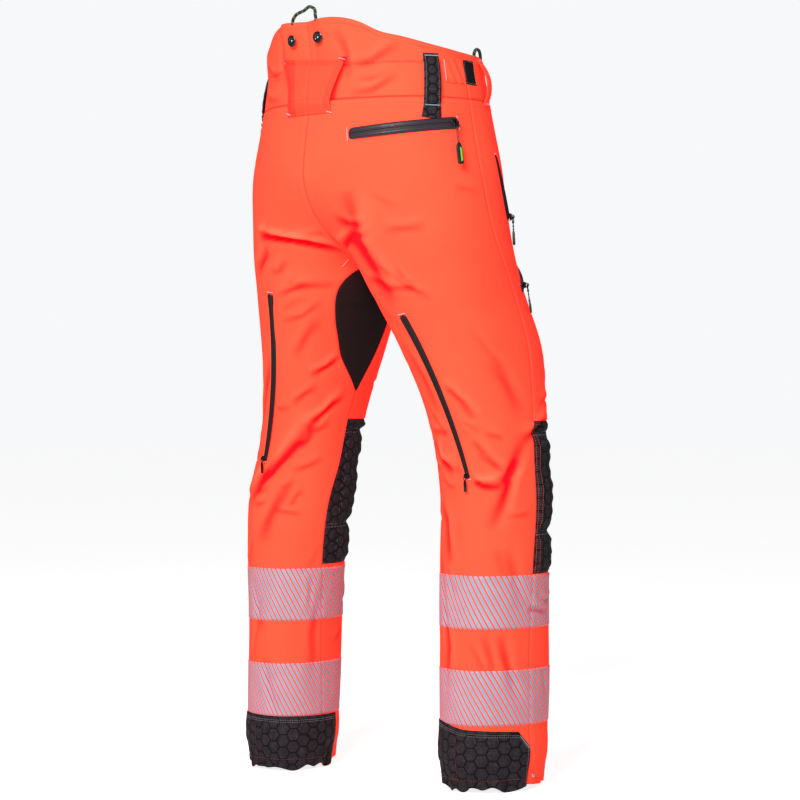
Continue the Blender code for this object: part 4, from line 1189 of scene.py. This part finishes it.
def make_inside():
    for word, side in SIDES.items():
        turns, heights = crossed(np.linspace(*PAD_TURNS, 60), np.linspace(*PAD_HEIGHTS, 200))
        u, v = (turns - PAD_TURNS[0]) * 0.5, heights
        diamonds = np.minimum(np.abs(((u + v) / 0.05) % 1 - 0.5), np.abs(((u - v) / 0.05) % 1 - 0.5))
        rim = np.minimum(np.minimum(turns - PAD_TURNS[0], PAD_TURNS[1] - turns) * 0.5,
                         np.minimum(heights - PAD_HEIGHTS[0], PAD_HEIGHTS[1] - heights))
        swell = 0.0008 * smooth(0.0, 0.10, diamonds) - 0.003 * smooth(0.006, 0.0, rim)
        thing = sewn(f"pad_pack_{word}", under_skin(side, turns, heights, 0.0155 + swell),
                     np.stack([u, v], -1), PAD_COVER, f"protective_pad_{word}",
                     0.0060, side == RIGHT)
    for name, (side, first, last, bottom, top) in BAGS.items():
        turns, heights = crossed(np.linspace(first, last, 30), np.linspace(bottom, top, 30))
        sewn(name.replace("bag", "lining"), under_skin(side, turns, heights, 0.0062),
             pattern(turns, heights), LINING, name, 0.0010,
             side == RIGHT)


# ---------------------------------------------------------------- zips in detail
LONG_ENDS = {"back_pocket": 0.007, "thigh_pocket": 0.011}      # how far a tape runs past its zip


def zip_line(closed, opened):
    """A zip laid flat: its scale, unit direction, the direction across it, and its length."""
    scale = girth((closed[1] + opened[1]) / 2)
    line = np.array(((opened[0] - closed[0]) * scale, opened[1] - closed[1]))
    long = np.linalg.norm(line)
    line /= long
    return scale, line, np.array((-line[1], line[0])), long


def make_tapes():
    for name, side, closed, opened, width, _, wide_closed, wide_open in ZIPS:
        centre, axis, spoke, sweep, normal, over, lift = zip_frame(side, closed, opened, width)
        radius = np.linalg.norm(spoke)
        long = sweep * radius
        extra = LONG_ENDS.get(name, 0.004)
        reach = np.linspace(-extra, long + extra, int(long / 0.0016))
        half = np.interp(reach, (0, long), (wide_closed, wide_open)) / 2
        end = np.minimum(reach - reach[0], reach[-1] - reach)
        narrow = np.sqrt(np.clip(1 - (1 - np.clip(end / (half * 0.75), 0, 1)) ** 2, 0.03, 1))
        x = np.linspace(-1, 1, 41)[None] * (half * (0.35 + 0.65 * narrow))[:, None]
        rows = []
        for k, r in enumerate(reach):
            # two rubbery lips meet in a groove, and the tape's edges run down to the cloth
            lip = 0.0007 * bell(np.abs(x[k]) - 0.0016, 0.0011) - 0.0009 * bell(x[k], 0.0005)
            sunk = -(lift - 0.0010) * smooth(0.0030, 0.0, half[k] - np.abs(x[k]))
            z = lift - 0.0002 + lip * smooth(0, 0.004, end[k]) + sunk * 0.9 - 0.0012 * smooth(0.004, 0.0, end[k])
            line = spoke + normal * z[:, None] + over * x[k][:, None]
            rows.append(centre + turn_about(line, axis, r / radius) - WAIST_ORIGIN)
        flat = np.stack([np.broadcast_to(reach[:, None], x.shape), x], -1)
        sewn(f"{name}_tape", np.array(rows), flat, TAPE if name == "back_pocket" else TAPE_BLACK, f"{name}_zip_tape",
             0.0010, True)
        if name == "fly":
            continue
        # a bar tack across each end of the zip, on the cloth
        scale, line, across, _ = zip_line(closed, opened)
        for at, direction, wide in ((closed, -1, wide_closed), (opened, 1, wide_open)):
            middle = np.array((at[0] * scale, at[1])) + line * direction * (0.0085 if name in LONG_ENDS else 0.0055)
            a, b = middle - across * (wide / 2 + 0.001), middle + across * (wide / 2 + 0.001)
            bar_tack(side, (a[0] / scale, a[1]), (b[0] / scale, b[1]))


def bevelled(name, parts, material, body, nodes, width=0.0004):
    verts, faces = [], []
    for points, shape in parts:
        faces += [tuple(i + len(verts) for i in face) for face in shape]
        verts += [tuple(p) for p in points]
    thing = linked(name, mesh_of(verts, faces, name, material))
    bevel = thing.modifiers.new("edge", "BEVEL")
    bevel.width = width
    bevel.segments = 3
    bevel.limit_method = "ANGLE"
    bevel.harden_normals = False
    return settle(thing, body, nodes)


def prism(frame, outline, low, high):
    """A closed prism over an outline in x and y, placed by a frame."""
    n = len(outline)
    points = [(x, y, low) for x, y in outline] + [(x, y, high) for x, y in outline]
    faces = [tuple(range(n - 1, -1, -1)), tuple(range(n, 2 * n))]
    faces += [(i, (i + 1) % n, n + (i + 1) % n, n + i) for i in range(n)]
    return moved(frame, np.array(points, float)), faces


def swept(name, route, radius, material, body, nodes, across, sides=10, cyclic=False):
    """A closed tube along a route, written as one mesh."""
    route = np.asarray(route, float)
    n = len(route)
    if cyclic:
        tangents = np.roll(route, -1, 0) - np.roll(route, 1, 0)
    else:
        tangents = np.gradient(route, axis=0)
    tangents /= np.linalg.norm(tangents, axis=1, keepdims=True)
    first = np.array(across, float)
    if abs(first @ tangents[0]) > 0.95:
        first = np.array((1.0, 0, 0))
    angle = np.linspace(0, 2 * np.pi, sides, endpoint=False)[:, None]
    rings, previous = [], first
    for point, tangent in zip(route, tangents):
        u = previous - tangent * (previous @ tangent)
        u /= np.linalg.norm(u)
        rings.append(point + radius * (np.cos(angle) * u + np.sin(angle) * np.cross(tangent, u)))
        previous = u
    faces = []
    for i in range(n if cyclic else n - 1):
        j = (i + 1) % n
        faces += [(i * sides + k, i * sides + (k + 1) % sides, j * sides + (k + 1) % sides, j * sides + k)
                  for k in range(sides)]
    if not cyclic:
        faces += [tuple(range(sides - 1, -1, -1)), tuple((n - 1) * sides + k for k in range(sides))]
    uvs = np.stack([np.repeat(reach_along(route), sides), np.tile(np.arange(sides) / sides, n)], -1)
    return settle(object_of(name, np.concatenate(rings), faces, material, uvs), body, nodes)


def reach_along(route):
    return np.concatenate([[0], np.cumsum(np.linalg.norm(np.diff(route, axis=0), axis=1))])


def frame_on(out, at):
    """A frame with z along a normal, x level and y up the cloth."""
    level = np.cross((0, 0, 1), out)
    level /= np.linalg.norm(level)
    up = np.cross(out, level)
    frame = Matrix(np.column_stack([level, up, out]).tolist()).to_4x4()
    frame.translation = Vector(at)
    return frame, level, up


def moved(matrix, points):
    return [matrix @ Vector(p) for p in points]


def make_sliders():
    """Zip sliders: waisted body, raised cheeks, and the arch that the pull hangs from."""
    for name, side, closed, opened, width, size, *_ in ZIPS:
        centre, _, spoke, _, normal, over, lift = zip_frame(side, closed, opened, width)
        along = np.cross(over, normal)
        frame, level, up = frame_on(normal, centre + spoke + normal * (lift + SLIDER_CLEARANCE) - WAIST_ORIGIN)
        spin = math.atan2(along @ up, along @ level) - math.pi / 2
        turned = frame @ Matrix.Rotation(spin, 4, "Z")
        w, l, h = (s * size for s in SLIDER)
        outline = [(x * w, y * l) for x, y in (
            (-0.5, 0.42), (-0.36, 0.5), (0.36, 0.5), (0.5, 0.42), (0.48, 0.1),
            (0.32, -0.42), (0.22, -0.5), (-0.22, -0.5), (-0.32, -0.42), (-0.48, 0.1))]
        bevelled(f"{name}_slider_body", [prism(turned, outline, 0.0, h * 0.42),
                                         prism(turned, [(0.86 * x, 0.9 * y) for x, y in outline], h * 0.40, h * 0.98)],
                 LACQUER, f"{name}_slider", f"{name}_slider")
        bw, bl, bh = (s * size for s in BRIDGE)
        arch = [(0, -math.cos(a) * bl * 0.40, h * 0.9 + max(-0.2, math.sin(a)) * bh * 0.86)
                for a in np.linspace(-0.35, np.pi + 0.35, 21)]
        swept(f"{name}_slider_arch", moved(frame, arch), bw * 0.34, LACQUER, f"{name}_slider", (),
              frame.to_3x3() @ Vector((1, 0, 0)))
        if name in PULL_LENGTH:
            bar = h + 0.0002 + 0.0034 * size / 2
            make_pull(name, frame @ Matrix.Translation((0, 0, bar)), size)


def make_pull(name, frame, size):
    """A ring round the arch, a thin knotted cord, and a rubber tag with a lime inlay; a plate on the vents."""
    long = PULL_LENGTH[name]
    body = f"{name}_pull"

    def wire(part, route, radius, material, nodes=(), sides=8, cyclic=False):
        swept(f"{body}_{part}", moved(frame, route), radius, material, body, nodes,
              frame.to_3x3() @ Vector((0, 0, 1)), sides, cyclic)

    def moulded(part, shapes, low, high, material, width):
        prisms = [prism(frame, shape, low, high) for shape in shapes]
        bevelled(f"{body}_{part}", prisms, material, body, (), width)

    def ring(down, radius_x, radius_y, thick):
        route = [(radius_x * size * math.sin(a), -down * size + radius_y * size * math.cos(a), 0.0)
                 for a in np.linspace(0, 2 * np.pi, 30, endpoint=False)]
        wire("ring", route, thick, LACQUER, (body,), 10, True)

    if name.startswith("vent"):
        ring(0.0042, 0.0026, 0.0044, 0.0006)
        moulded("plate", [[(-0.0016, -0.0060), (0.0016, -0.0060), (0.0024, -0.0090), (0.0024, -long + 0.0016),
                           (0.0012, -long + 0.0003), (-0.0012, -long + 0.0003), (-0.0024, -long + 0.0016),
                           (-0.0024, -0.0090)]], -0.0006, 0.0006, LACQUER, 0.0003)
        return
    ring(0.0046, 0.0040, 0.0050, 0.00075)
    eye, top, bottom = -0.0088 * size, -0.50 * long, -long + 0.0002
    for word, hand in (("left", -1), ("right", 1)):
        route = [(hand * (0.00062 + 0.0006 * math.sin(math.pi * k / 21)), y, 0.0003 * hand * math.sin(0.9 * k))
                 for k, y in enumerate(np.linspace(eye + 0.0006, top - 0.0015, 22))]
        wire(f"cord_{word}", route, 0.00062, RUBBER)
    knot = [(0.0011 * math.cos(t), eye - 0.0002 + 0.0009 * math.sin(t), 0.0010 * math.sin(2 * t))
            for t in np.linspace(0, 2 * np.pi, 18, endpoint=False)]
    wire("knot", knot, 0.0007, RUBBER, cyclic=True)
    half = (0.0046 if name == "back_pocket" else 0.0040) * size
    moulded("tag", [[(-half * 0.42, top), (half * 0.42, top), (half * 0.80, top - 0.0035), (half, top - 0.009),
                     (half, bottom + 0.0022), (half * 0.75, bottom + 0.0006), (0.0, bottom),
                     (-half * 0.75, bottom + 0.0006), (-half, bottom + 0.0022), (-half, top - 0.009),
                     (-half * 0.80, top - 0.0035)]], -0.0013, 0.0012, RUBBER, 0.0006)
    lane = half * (0.42 if name == "back_pocket" else 0.30)
    left, right = lane - half * 0.34, lane + half * 0.30
    moulded("inlay", [[(left, top - 0.0065), (right, top - 0.0078), (right, bottom + 0.0048), (left, bottom + 0.0036)]],
            0.0008, 0.0016, LIME, 0.0003)
    levels = [y for y in (top - 0.0100 - k * 0.0030 for k in range(4)) if y > bottom + 0.006]
    moulded("ribs", [[(-half * 0.82, y), (-half * 0.10, y), (-half * 0.10, y - 0.0012), (-half * 0.82, y - 0.0012)]
                     for y in levels], 0.0009, 0.0016, RUBBER, 0.0002)


# ---------------------------------------------------------------- stitches
STITCH_PITCH = 0.0032
LOZENGE = np.array([(0, 1, 2), (0, 2, 3), (0, 3, 4), (0, 4, 1), (5, 2, 1), (5, 3, 2), (5, 4, 3), (5, 1, 4)])
SEWING = {}                         # the stitches so far, by thread and body


def add_stitch(thread, body, a, b, out, thick):
    """One slim eight-faced lozenge."""
    middle = (a + b) / 2 + out * 0.00005
    along = b - a
    across = np.cross(out, along)
    across /= np.linalg.norm(across)
    long = along * 0.46
    SEWING.setdefault((thread, body), []).append([
        middle - long, middle + across * thick * 0.6, middle + out * thick * 0.75, middle - across * thick * 0.6,
        middle - out * thick * 0.6, middle + long])


def build_stitches():
    for (thread, body), parts in SEWING.items():
        faces = (LOZENGE[None] + 6 * np.arange(len(parts))[:, None, None]).reshape(-1, 3)
        material, slot = THREADS[thread]
        thing = object_of(f"stitches_{thread}_{body}", np.array(parts).reshape(-1, 3), faces.tolist(), material)
        settle(thing, body, ())


def stitch_run(side, turns, heights, thread="tone", lift=0.0001, body="trousers"):
    """A line of stitches along stops given as turns and heights, either of which may be one number."""
    turns, heights = spread(turns, heights)
    fine = np.linspace(0, 1, 400)
    stops = np.linspace(0, 1, len(turns))
    turns, heights = np.interp(fine, stops, turns), np.interp(fine, stops, heights)
    reach = reach_along(skin(side, turns, heights))
    ends = np.linspace(0, reach[-1], max(2, int(reach[-1] / STITCH_PITCH)) + 1)
    gap = 0.16 * STITCH_PITCH
    points = []
    for places in (ends[1:] - gap, ends[:-1] + gap):
        t, h = np.interp(places, reach, turns), np.interp(places, reach, heights)
        points.append(surface(side, t, h, lift(h) if callable(lift) else lift))
    for a, b, out in zip(points[1], points[0], skin_out(side, t, h)):
        add_stitch(thread, body, a, b, out, 0.0006)


def bar_tack(side, a, b, thread="pale", lift=0.0012, width=0.0021, body="trousers"):
    """A dense zigzag between two places: threads lie across the bar."""
    turns, heights = np.linspace(a[0], b[0], 2), np.linspace(a[1], b[1], 2)
    start, finish = surface(side, turns, heights, lift)
    out = skin_out(side, turns, heights)[0]
    line = finish - start
    long = np.linalg.norm(line)
    line = line / long
    across = np.cross(out, line)
    count = max(6, int(long / 0.00062))
    for k in range(count):
        at = start + line * long * (k + 0.5) / count
        skew = line * 0.0003 * (-1) ** k
        add_stitch(thread, body, at - across * width / 2 - skew, at + across * width / 2 + skew, out, 0.00062)


def sew_box(side, turn, half_x, half_y, thread, lift, body="trousers"):
    """Four runs round a patch on the waistband."""
    corners = np.array(((-half_x, -half_y), (half_x, -half_y), (half_x, half_y), (-half_x, half_y), (-half_x, -half_y)))
    for a, b in zip(corners[:-1], corners[1:]):
        turns, heights = turn + np.array((a[0], b[0])) / WAIST_GIRTH, TAB_HEIGHT + np.array((a[1], b[1]))
        stitch_run(side, turns, heights, thread, lift, body)


SEAM_ROWS = (0.0024, 0.0075)        # the two rows beside a felled seam


def sew_seams(side):
    z = np.linspace(0.10, BELT_SEAM - 0.003, 60)
    leg = z[z < GUSSET_TIP]
    upper = np.linspace(GUSSET_APEX + 0.004, BELT_SEAM - 0.003, 40)
    edge = np.linspace(GUSSET_TIP + 0.01, GUSSET_APEX - 0.002, 40)
    for offset in SEAM_ROWS:
        stitch_run(side, side_seam(z) + offset / girth(z), z)
        stitch_run(side, inside_seam(leg) + offset / girth(leg), leg)
        stitch_run(side, offset / girth(upper), upper)
        stitch_run(side, 1 - offset / girth(upper), upper)
        stitch_run(side, back_edge(edge) + (offset + 0.0006) / girth(edge), edge)
        stitch_run(side, front_edge(edge) - (offset + 0.0006) / girth(edge), edge)


def sew_rings(word, side):
    """The waistband's rows, the bands' edges and the knee's quilting lines."""
    t = np.linspace(0, 1, 120)
    stitch_run(side, t, BELT_SEAM - 0.0026)
    stitch_run(side, t, BELT_SEAM - 0.0078)
    stitch_run(side, t[:60], 1.0062)
    stitch_run(side, t, waist_top(t) - 0.0072)
    for (name, _), (bottom, top) in BAND_SPANS.items():
        if name == word:
            for level in (bottom + 0.0022, top - 0.0022):
                stitch_run(side, t, level, lift=0.0008)
    for level, thread in ((0.497, "grey"), (0.359, "grey"), (KNEE_TOP + 0.0026, "tone"), (KNEE_TOP + 0.0078, "tone"),
                          (KNEE_BOTTOM - 0.0026, "tone"), (KNEE_BOTTOM - 0.0078, "tone")):
        first, last = side_seam(level), front_edge(level)
        run = first + (last - first) * np.linspace(0, 1, 60)
        stitch_run(side, run, level, thread)
        if thread == "grey":
            stitch_run(side, run, level - 0.0045, thread)


def sew_hem(side):
    cuff = np.linspace(-0.046, 0.523, 80)
    for offset in CUFF_SEAMS:
        stitch_run(side, cuff, cuff_top(side, cuff) - offset, "grey", 0.0020)
    stitch_run(side, np.linspace(-0.045, 0.524, 80), 0.0175, "red", 0.0025)
    rise = np.linspace(0.012, 0.058, 20)
    for turn in (0.529 - CUFF_SEAMS[0] / GIRTH, -0.05 + CUFF_SEAMS[0] / GIRTH):
        stitch_run(side, turn, rise, "grey", 0.0020)
    stitch_run(side, 0.2875, np.linspace(0.014, 0.078, 20), "red", 0.0022)
    for level in (0.013, 0.024):
        stitch_run(side, np.linspace(0.535, 0.945, 60), level)


def sew_straps(word, side):
    run = np.linspace(0, 1, 30)
    for edge in (-1, 1):
        stitch_run(side, 0.3495 + 0.0145 * run + edge * 0.0098 / WAIST_GIRTH, 0.944 + 0.070 * run, "grey",
                   lambda h: 0.0026 + standing_off(0.006, (h - 0.941) / 0.076))
        stitch_run(side, 0.598 + 0.004 * run + edge * 0.0056 / WAIST_GIRTH, 0.953 + 0.061 * run, "tone",
                   lambda h: 0.0026 + standing_off(0.011, (h - 0.950) / 0.067))
    for turn, height, half, thread, lift in (
        (0.3495, 0.9435, 0.022, "blue", 0.0042), (0.3638, 1.0135, 0.022, "blue", 0.0042),
        (0.598, 0.9525, 0.014, "pale", 0.0040), (0.602, 1.0145, 0.014, "pale", 0.0040),
    ):
        bar_tack(side, (turn - half, height), (turn + half, height), thread, lift)
    tab = f"waist_tab_{word}"
    sew_box(side, TAB_TURN, 0.0183, 0.0133, "tone", 0.0026, tab)
    sew_box(side, PATCH_TURN, 0.0128, 0.0155, "grey", 0.0016)
    # just in front of the tab's hinge, so that it turns clear of the waistband
    bar_tack(side, (0.4070, 0.980), (0.4070, 1.009), lift=0.0030, body=tab)
    bar_tack(side, (0.489, 0.0785), (0.521, 0.0605), "blue", 0.0026, 0.0016)


def sew_zips():
    for name, side, closed, opened, _, _, wide_closed, wide_open in ZIPS:
        scale, line, across, long = zip_line(closed, opened)
        share = np.linspace(-0.03, 1.03, 40)
        half = wide_closed / 2 + (wide_open - wide_closed) / 2 * share + 0.0028
        for hand in (-1, 1) if name != "fly" else ():
            x = closed[0] * scale + line[0] * long * share + across[0] * hand * half
            y = closed[1] + line[1] * long * share + across[1] * hand * half
            stitch_run(side, x / scale, y)
    # the fly's curved double line, on the wearer's left
    down = np.linspace(0, 1, 40)
    for shift in (0.0, 0.006):
        turn = 1 - (0.036 + shift) / 0.36 * np.sqrt(np.clip(1 - (np.clip(down - 0.55, 0, 1) / 0.45) ** 2, 0, 1))
        stitch_run(LEFT, turn, 0.952 - 0.135 * down - shift * down)


def make_stitches():
    for word, side in SIDES.items():
        sew_seams(side)
        sew_rings(word, side)
        sew_hem(side)
        # pocket openings at the front
        for shift in (0.006, 0.011):
            stitch_run(side, np.array((0.625, 0.588)) + (shift + 0.001) / 0.5, np.array((0.797, 0.878)))
        sew_straps(word, side)
    sew_zips()
    # the wide loop's corners, the hanging cord's ends and the gusset's top
    for height, reach in ((1.0145, 0.1065), (0.9405, 0.0725)):
        for side in (LEFT, RIGHT):
            bar_tack(side, (reach - 0.011, height), (reach + 0.006, height + 0.003 * side), lift=0.0022)
    for side, turn in ((LEFT, 0.046), (RIGHT, 0.041)):
        bar_tack(side, (turn - 0.008, 1.0635), (turn + 0.008, 1.0635))
    for side in (LEFT, RIGHT):
        bar_tack(side, (0.030, 0.742), (0.060, 0.731))
    build_stitches()


# ---------------------------------------------------------------- buttons and cords
# each profile runs from the top centre to the bottom centre as (radius, height)
DISC = [(0, 0.0046), (0.0030, 0.0046), (0.0036, 0.0049), (0.0042, 0.0056), (0.0058, 0.0058), (0.0072, 0.0056),
        (0.0082, 0.0050), (0.0085, 0.0043), (0.0081, 0.0036), (0.0066, 0.0033), (0.0034, 0.0031), (0.0030, 0.0018),
        (0.0036, 0.0002), (0, 0.0002)]
STUD = [(0, 0.0043), (0.0028, 0.0043), (0.0031, 0.0039), (0.0040, 0.0040), (0.0056, 0.0042), (0.0068, 0.0037),
        (0.0073, 0.0028), (0.0074, 0.0012), (0.0070, 0.0003), (0, 0.0003)]
PIN = [(0, 0.0052), (0.0010, 0.0051), (0.0015, 0.0047), (0.0016, 0.0043), (0, 0.0040)]
POPPER = [(0, 0.0013), (0.0018, 0.0012), (0.0027, 0.0007), (0.0029, -0.0004), (0, -0.0008)]


def lathe(name, profile, frame, material, nodes, steps=48):
    """A closed turned piece on the trousers."""
    verts, faces = [(0, 0, profile[0][1])], []
    inner = profile[1:-1]
    for r, z in inner:
        for k in range(steps):
            a = 2 * math.pi * k / steps
            verts.append((r * math.cos(a), r * math.sin(a), z))
    verts.append((0, 0, profile[-1][1]))
    for k in range(steps):
        d = (k + 1) % steps
        faces.append((0, 1 + k, 1 + d))
        for i in range(len(inner) - 1):
            a = 1 + i * steps
            faces.append((a + k, a + steps + k, a + steps + d, a + d))
        a = 1 + (len(inner) - 1) * steps
        faces.append((a + k, len(verts) - 1, a + d))
    settle(object_of(name, [tuple(p) for p in moved(frame, verts)], faces, material), "trousers", nodes)


def upright(side, turn, height):
    return frame_on(skin_out(side, turn, height), skin(side, turn, height) - WAIST_ORIGIN)[0]


def make_buttons():
    for word, side in SIDES.items():
        for name, turn, height in (("back_brace_button", 0.0475, 1.045), ("front_brace_button", 0.870, 0.985)):
            frame = upright(side, turn, height)
            if name.startswith("back"):
                frame = frame @ Matrix.Translation((0, 0, float(board(turn, height))))
            lathe(f"{name}_cap_{word}", DISC, frame, GLOSS, f"{name}_{word}")
            lathe(f"{name}_pin_{word}", PIN, frame, BARE_METAL, (), 24)
    lathe("waist_stud_cap", STUD, upright(LEFT, 0.968, 0.985), GLOSS, "waist_stud")
    for word, side in SIDES.items():
        popper = upright(side, 0.552, 0.020)
        popper.translation = Vector(surface(side, 0.552, 0.020))
        lathe(f"cuff_popper_{word}", POPPER, popper, BARE_METAL, (), 32)


def stop(side, turn, rise):
    """A place on a cord, so far above the waistband's top edge."""
    height = float(waist_top(turn)) - 0.004
    out = skin_out(side, turn, height)
    foot = skin(side, turn, height) - out * 0.0014 + out * float(board(turn, height))
    return foot + np.array([0, 0, rise + 0.0045]) - WAIST_ORIGIN


CORD_THICK = 0.0046


def make_cords():
    crown = stop(LEFT, 0.0, 0)
    back = [stop(LEFT, 0.046, -0.004), stop(LEFT, 0.045, 0.003), stop(LEFT, 0.038, 0.009)]
    over_crown = (0.006, 0.001, 0.0160), (-0.004, 0.001, 0.0200), (-0.0125, 0, 0.0165)
    back += [crown + np.array(aside) for aside in over_crown]
    back += [stop(RIGHT, 0.036, 0.006), stop(RIGHT, 0.041, -0.004)]
    front = [stop(RIGHT, turn, rise) for turn, rise in (
        (0.575, -0.004), (0.577, 0.004), (0.592, 0.0095), (0.612, 0.0105), (0.632, 0.009), (0.646, 0.004),
        (0.648, -0.004),
    )]
    for name, stops, node in (("hanging_cord", back, "hanging_loop"), ("glove_cord", front, "glove_loop")):
        stops = np.asarray(stops, float)
        reach = reach_along(stops)
        route = spline(np.column_stack([reach, stops]), np.linspace(0, reach[-1], 40))
        curve = bpy.data.curves.new(name, "CURVE")
        curve.dimensions = "3D"
        curve.bevel_depth = CORD_THICK / 2
        curve.bevel_resolution = 5
        curve.use_fill_caps = True
        line = curve.splines.new("POLY")
        line.points.add(len(route) - 1)
        for point, place in zip(line.points, route):
            point.co = (*place, 1)
        line.use_smooth = True
        curve.materials.append(BRAID)
        thing = settle(linked(name, curve), "trousers", node)


make_shell()
make_gusset()
make_bands()
make_cuffs()
make_waistband()
make_wide_loop()
make_straps()
make_tabs()
make_inside()
make_tapes()
make_sliders()
make_stitches()
make_buttons()
make_cords()


# ---------------------------------------------------------------- floor, lights and camera
VIEW = Vector((0.6947, -0.7193, 0.0))
ASIDE = Vector((0.7193, 0.6947, 0.0))             # towards the left of the picture
MIDDLE = Vector((0, 0, -0.45))


def make_floor():
    bpy.ops.mesh.primitive_plane_add(size=30, location=(0, 0, -1.0005))
    floor = bpy.context.object
    floor.name = "floor"
    g = Graph("pale_floor", (0.82, 0.82, 0.83), 0.9, emission=(0.30, 0.30, 0.30), specular=0.1)
    where = g.millimetres("Object")
    g.paint(Base_Color=g.mix(g.noise(where, 900.0, 3.0), (0.80, 0.80, 0.81), (0.85, 0.85, 0.86)))
    seen = g.out(g.node("ShaderNodeLightPath"), "Is Camera Ray")
    glow = g.out(g.node("ShaderNodeMapRange", Value=seen, To_Min=0.35, To_Max=2.8))
    floor.data.materials.append(g.paint(Emission_Strength=glow))


def make_lights():
    for name, forward, aside, rise, size, power in (("key", -2.5, 0.8, 1.6, (1.1, 1.1), 92),
                                                    ("fill", -2.6, -1.9, 0.7, (1.8, 2.2), 6),
                                                    ("rim", 1.5, -1.6, 1.4, (0.8, 1.6), 3)):
        light = bpy.data.lights.new(name, "AREA")
        light.shape = "RECTANGLE"
        light.size, light.size_y = size
        light.energy = power
        thing = linked(name, light)
        thing.location = MIDDLE + VIEW * forward + ASIDE * aside + Vector((0, 0, rise))
        thing.rotation_euler = (MIDDLE - thing.location).to_track_quat("-Z", "Y").to_euler()
    world = bpy.data.worlds.new("studio")
    world.use_nodes = True
    tree = world.node_tree
    background = tree.nodes["Background"]
    background.inputs["Color"].default_value = (0.98, 0.99, 1.0, 1)
    shown = tree.nodes.new("ShaderNodeLightPath")
    level = tree.nodes.new("ShaderNodeMapRange")
    level.inputs["To Min"].default_value = 0.12
    level.inputs["To Max"].default_value = 0.95
    tree.links.new(shown.outputs["Is Camera Ray"], level.inputs["Value"])
    tree.links.new(level.outputs[0], background.inputs["Strength"])
    bpy.context.scene.world = world


def make_camera():
    data = bpy.data.cameras.new("photo_view")
    data.lens = 105.5
    data.sensor_width = 36.0
    data.shift_y = -0.015
    data.dof.use_dof = False
    camera = linked("photo_view", data)
    camera.location = (-2.362, 2.393, -0.442)
    camera.rotation_euler = VIEW.to_track_quat("-Z", "Y").to_euler()
    bpy.context.scene.camera = camera


make_floor()
make_lights()
make_camera()
bpy.context.scene.view_settings.view_transform = "Standard"
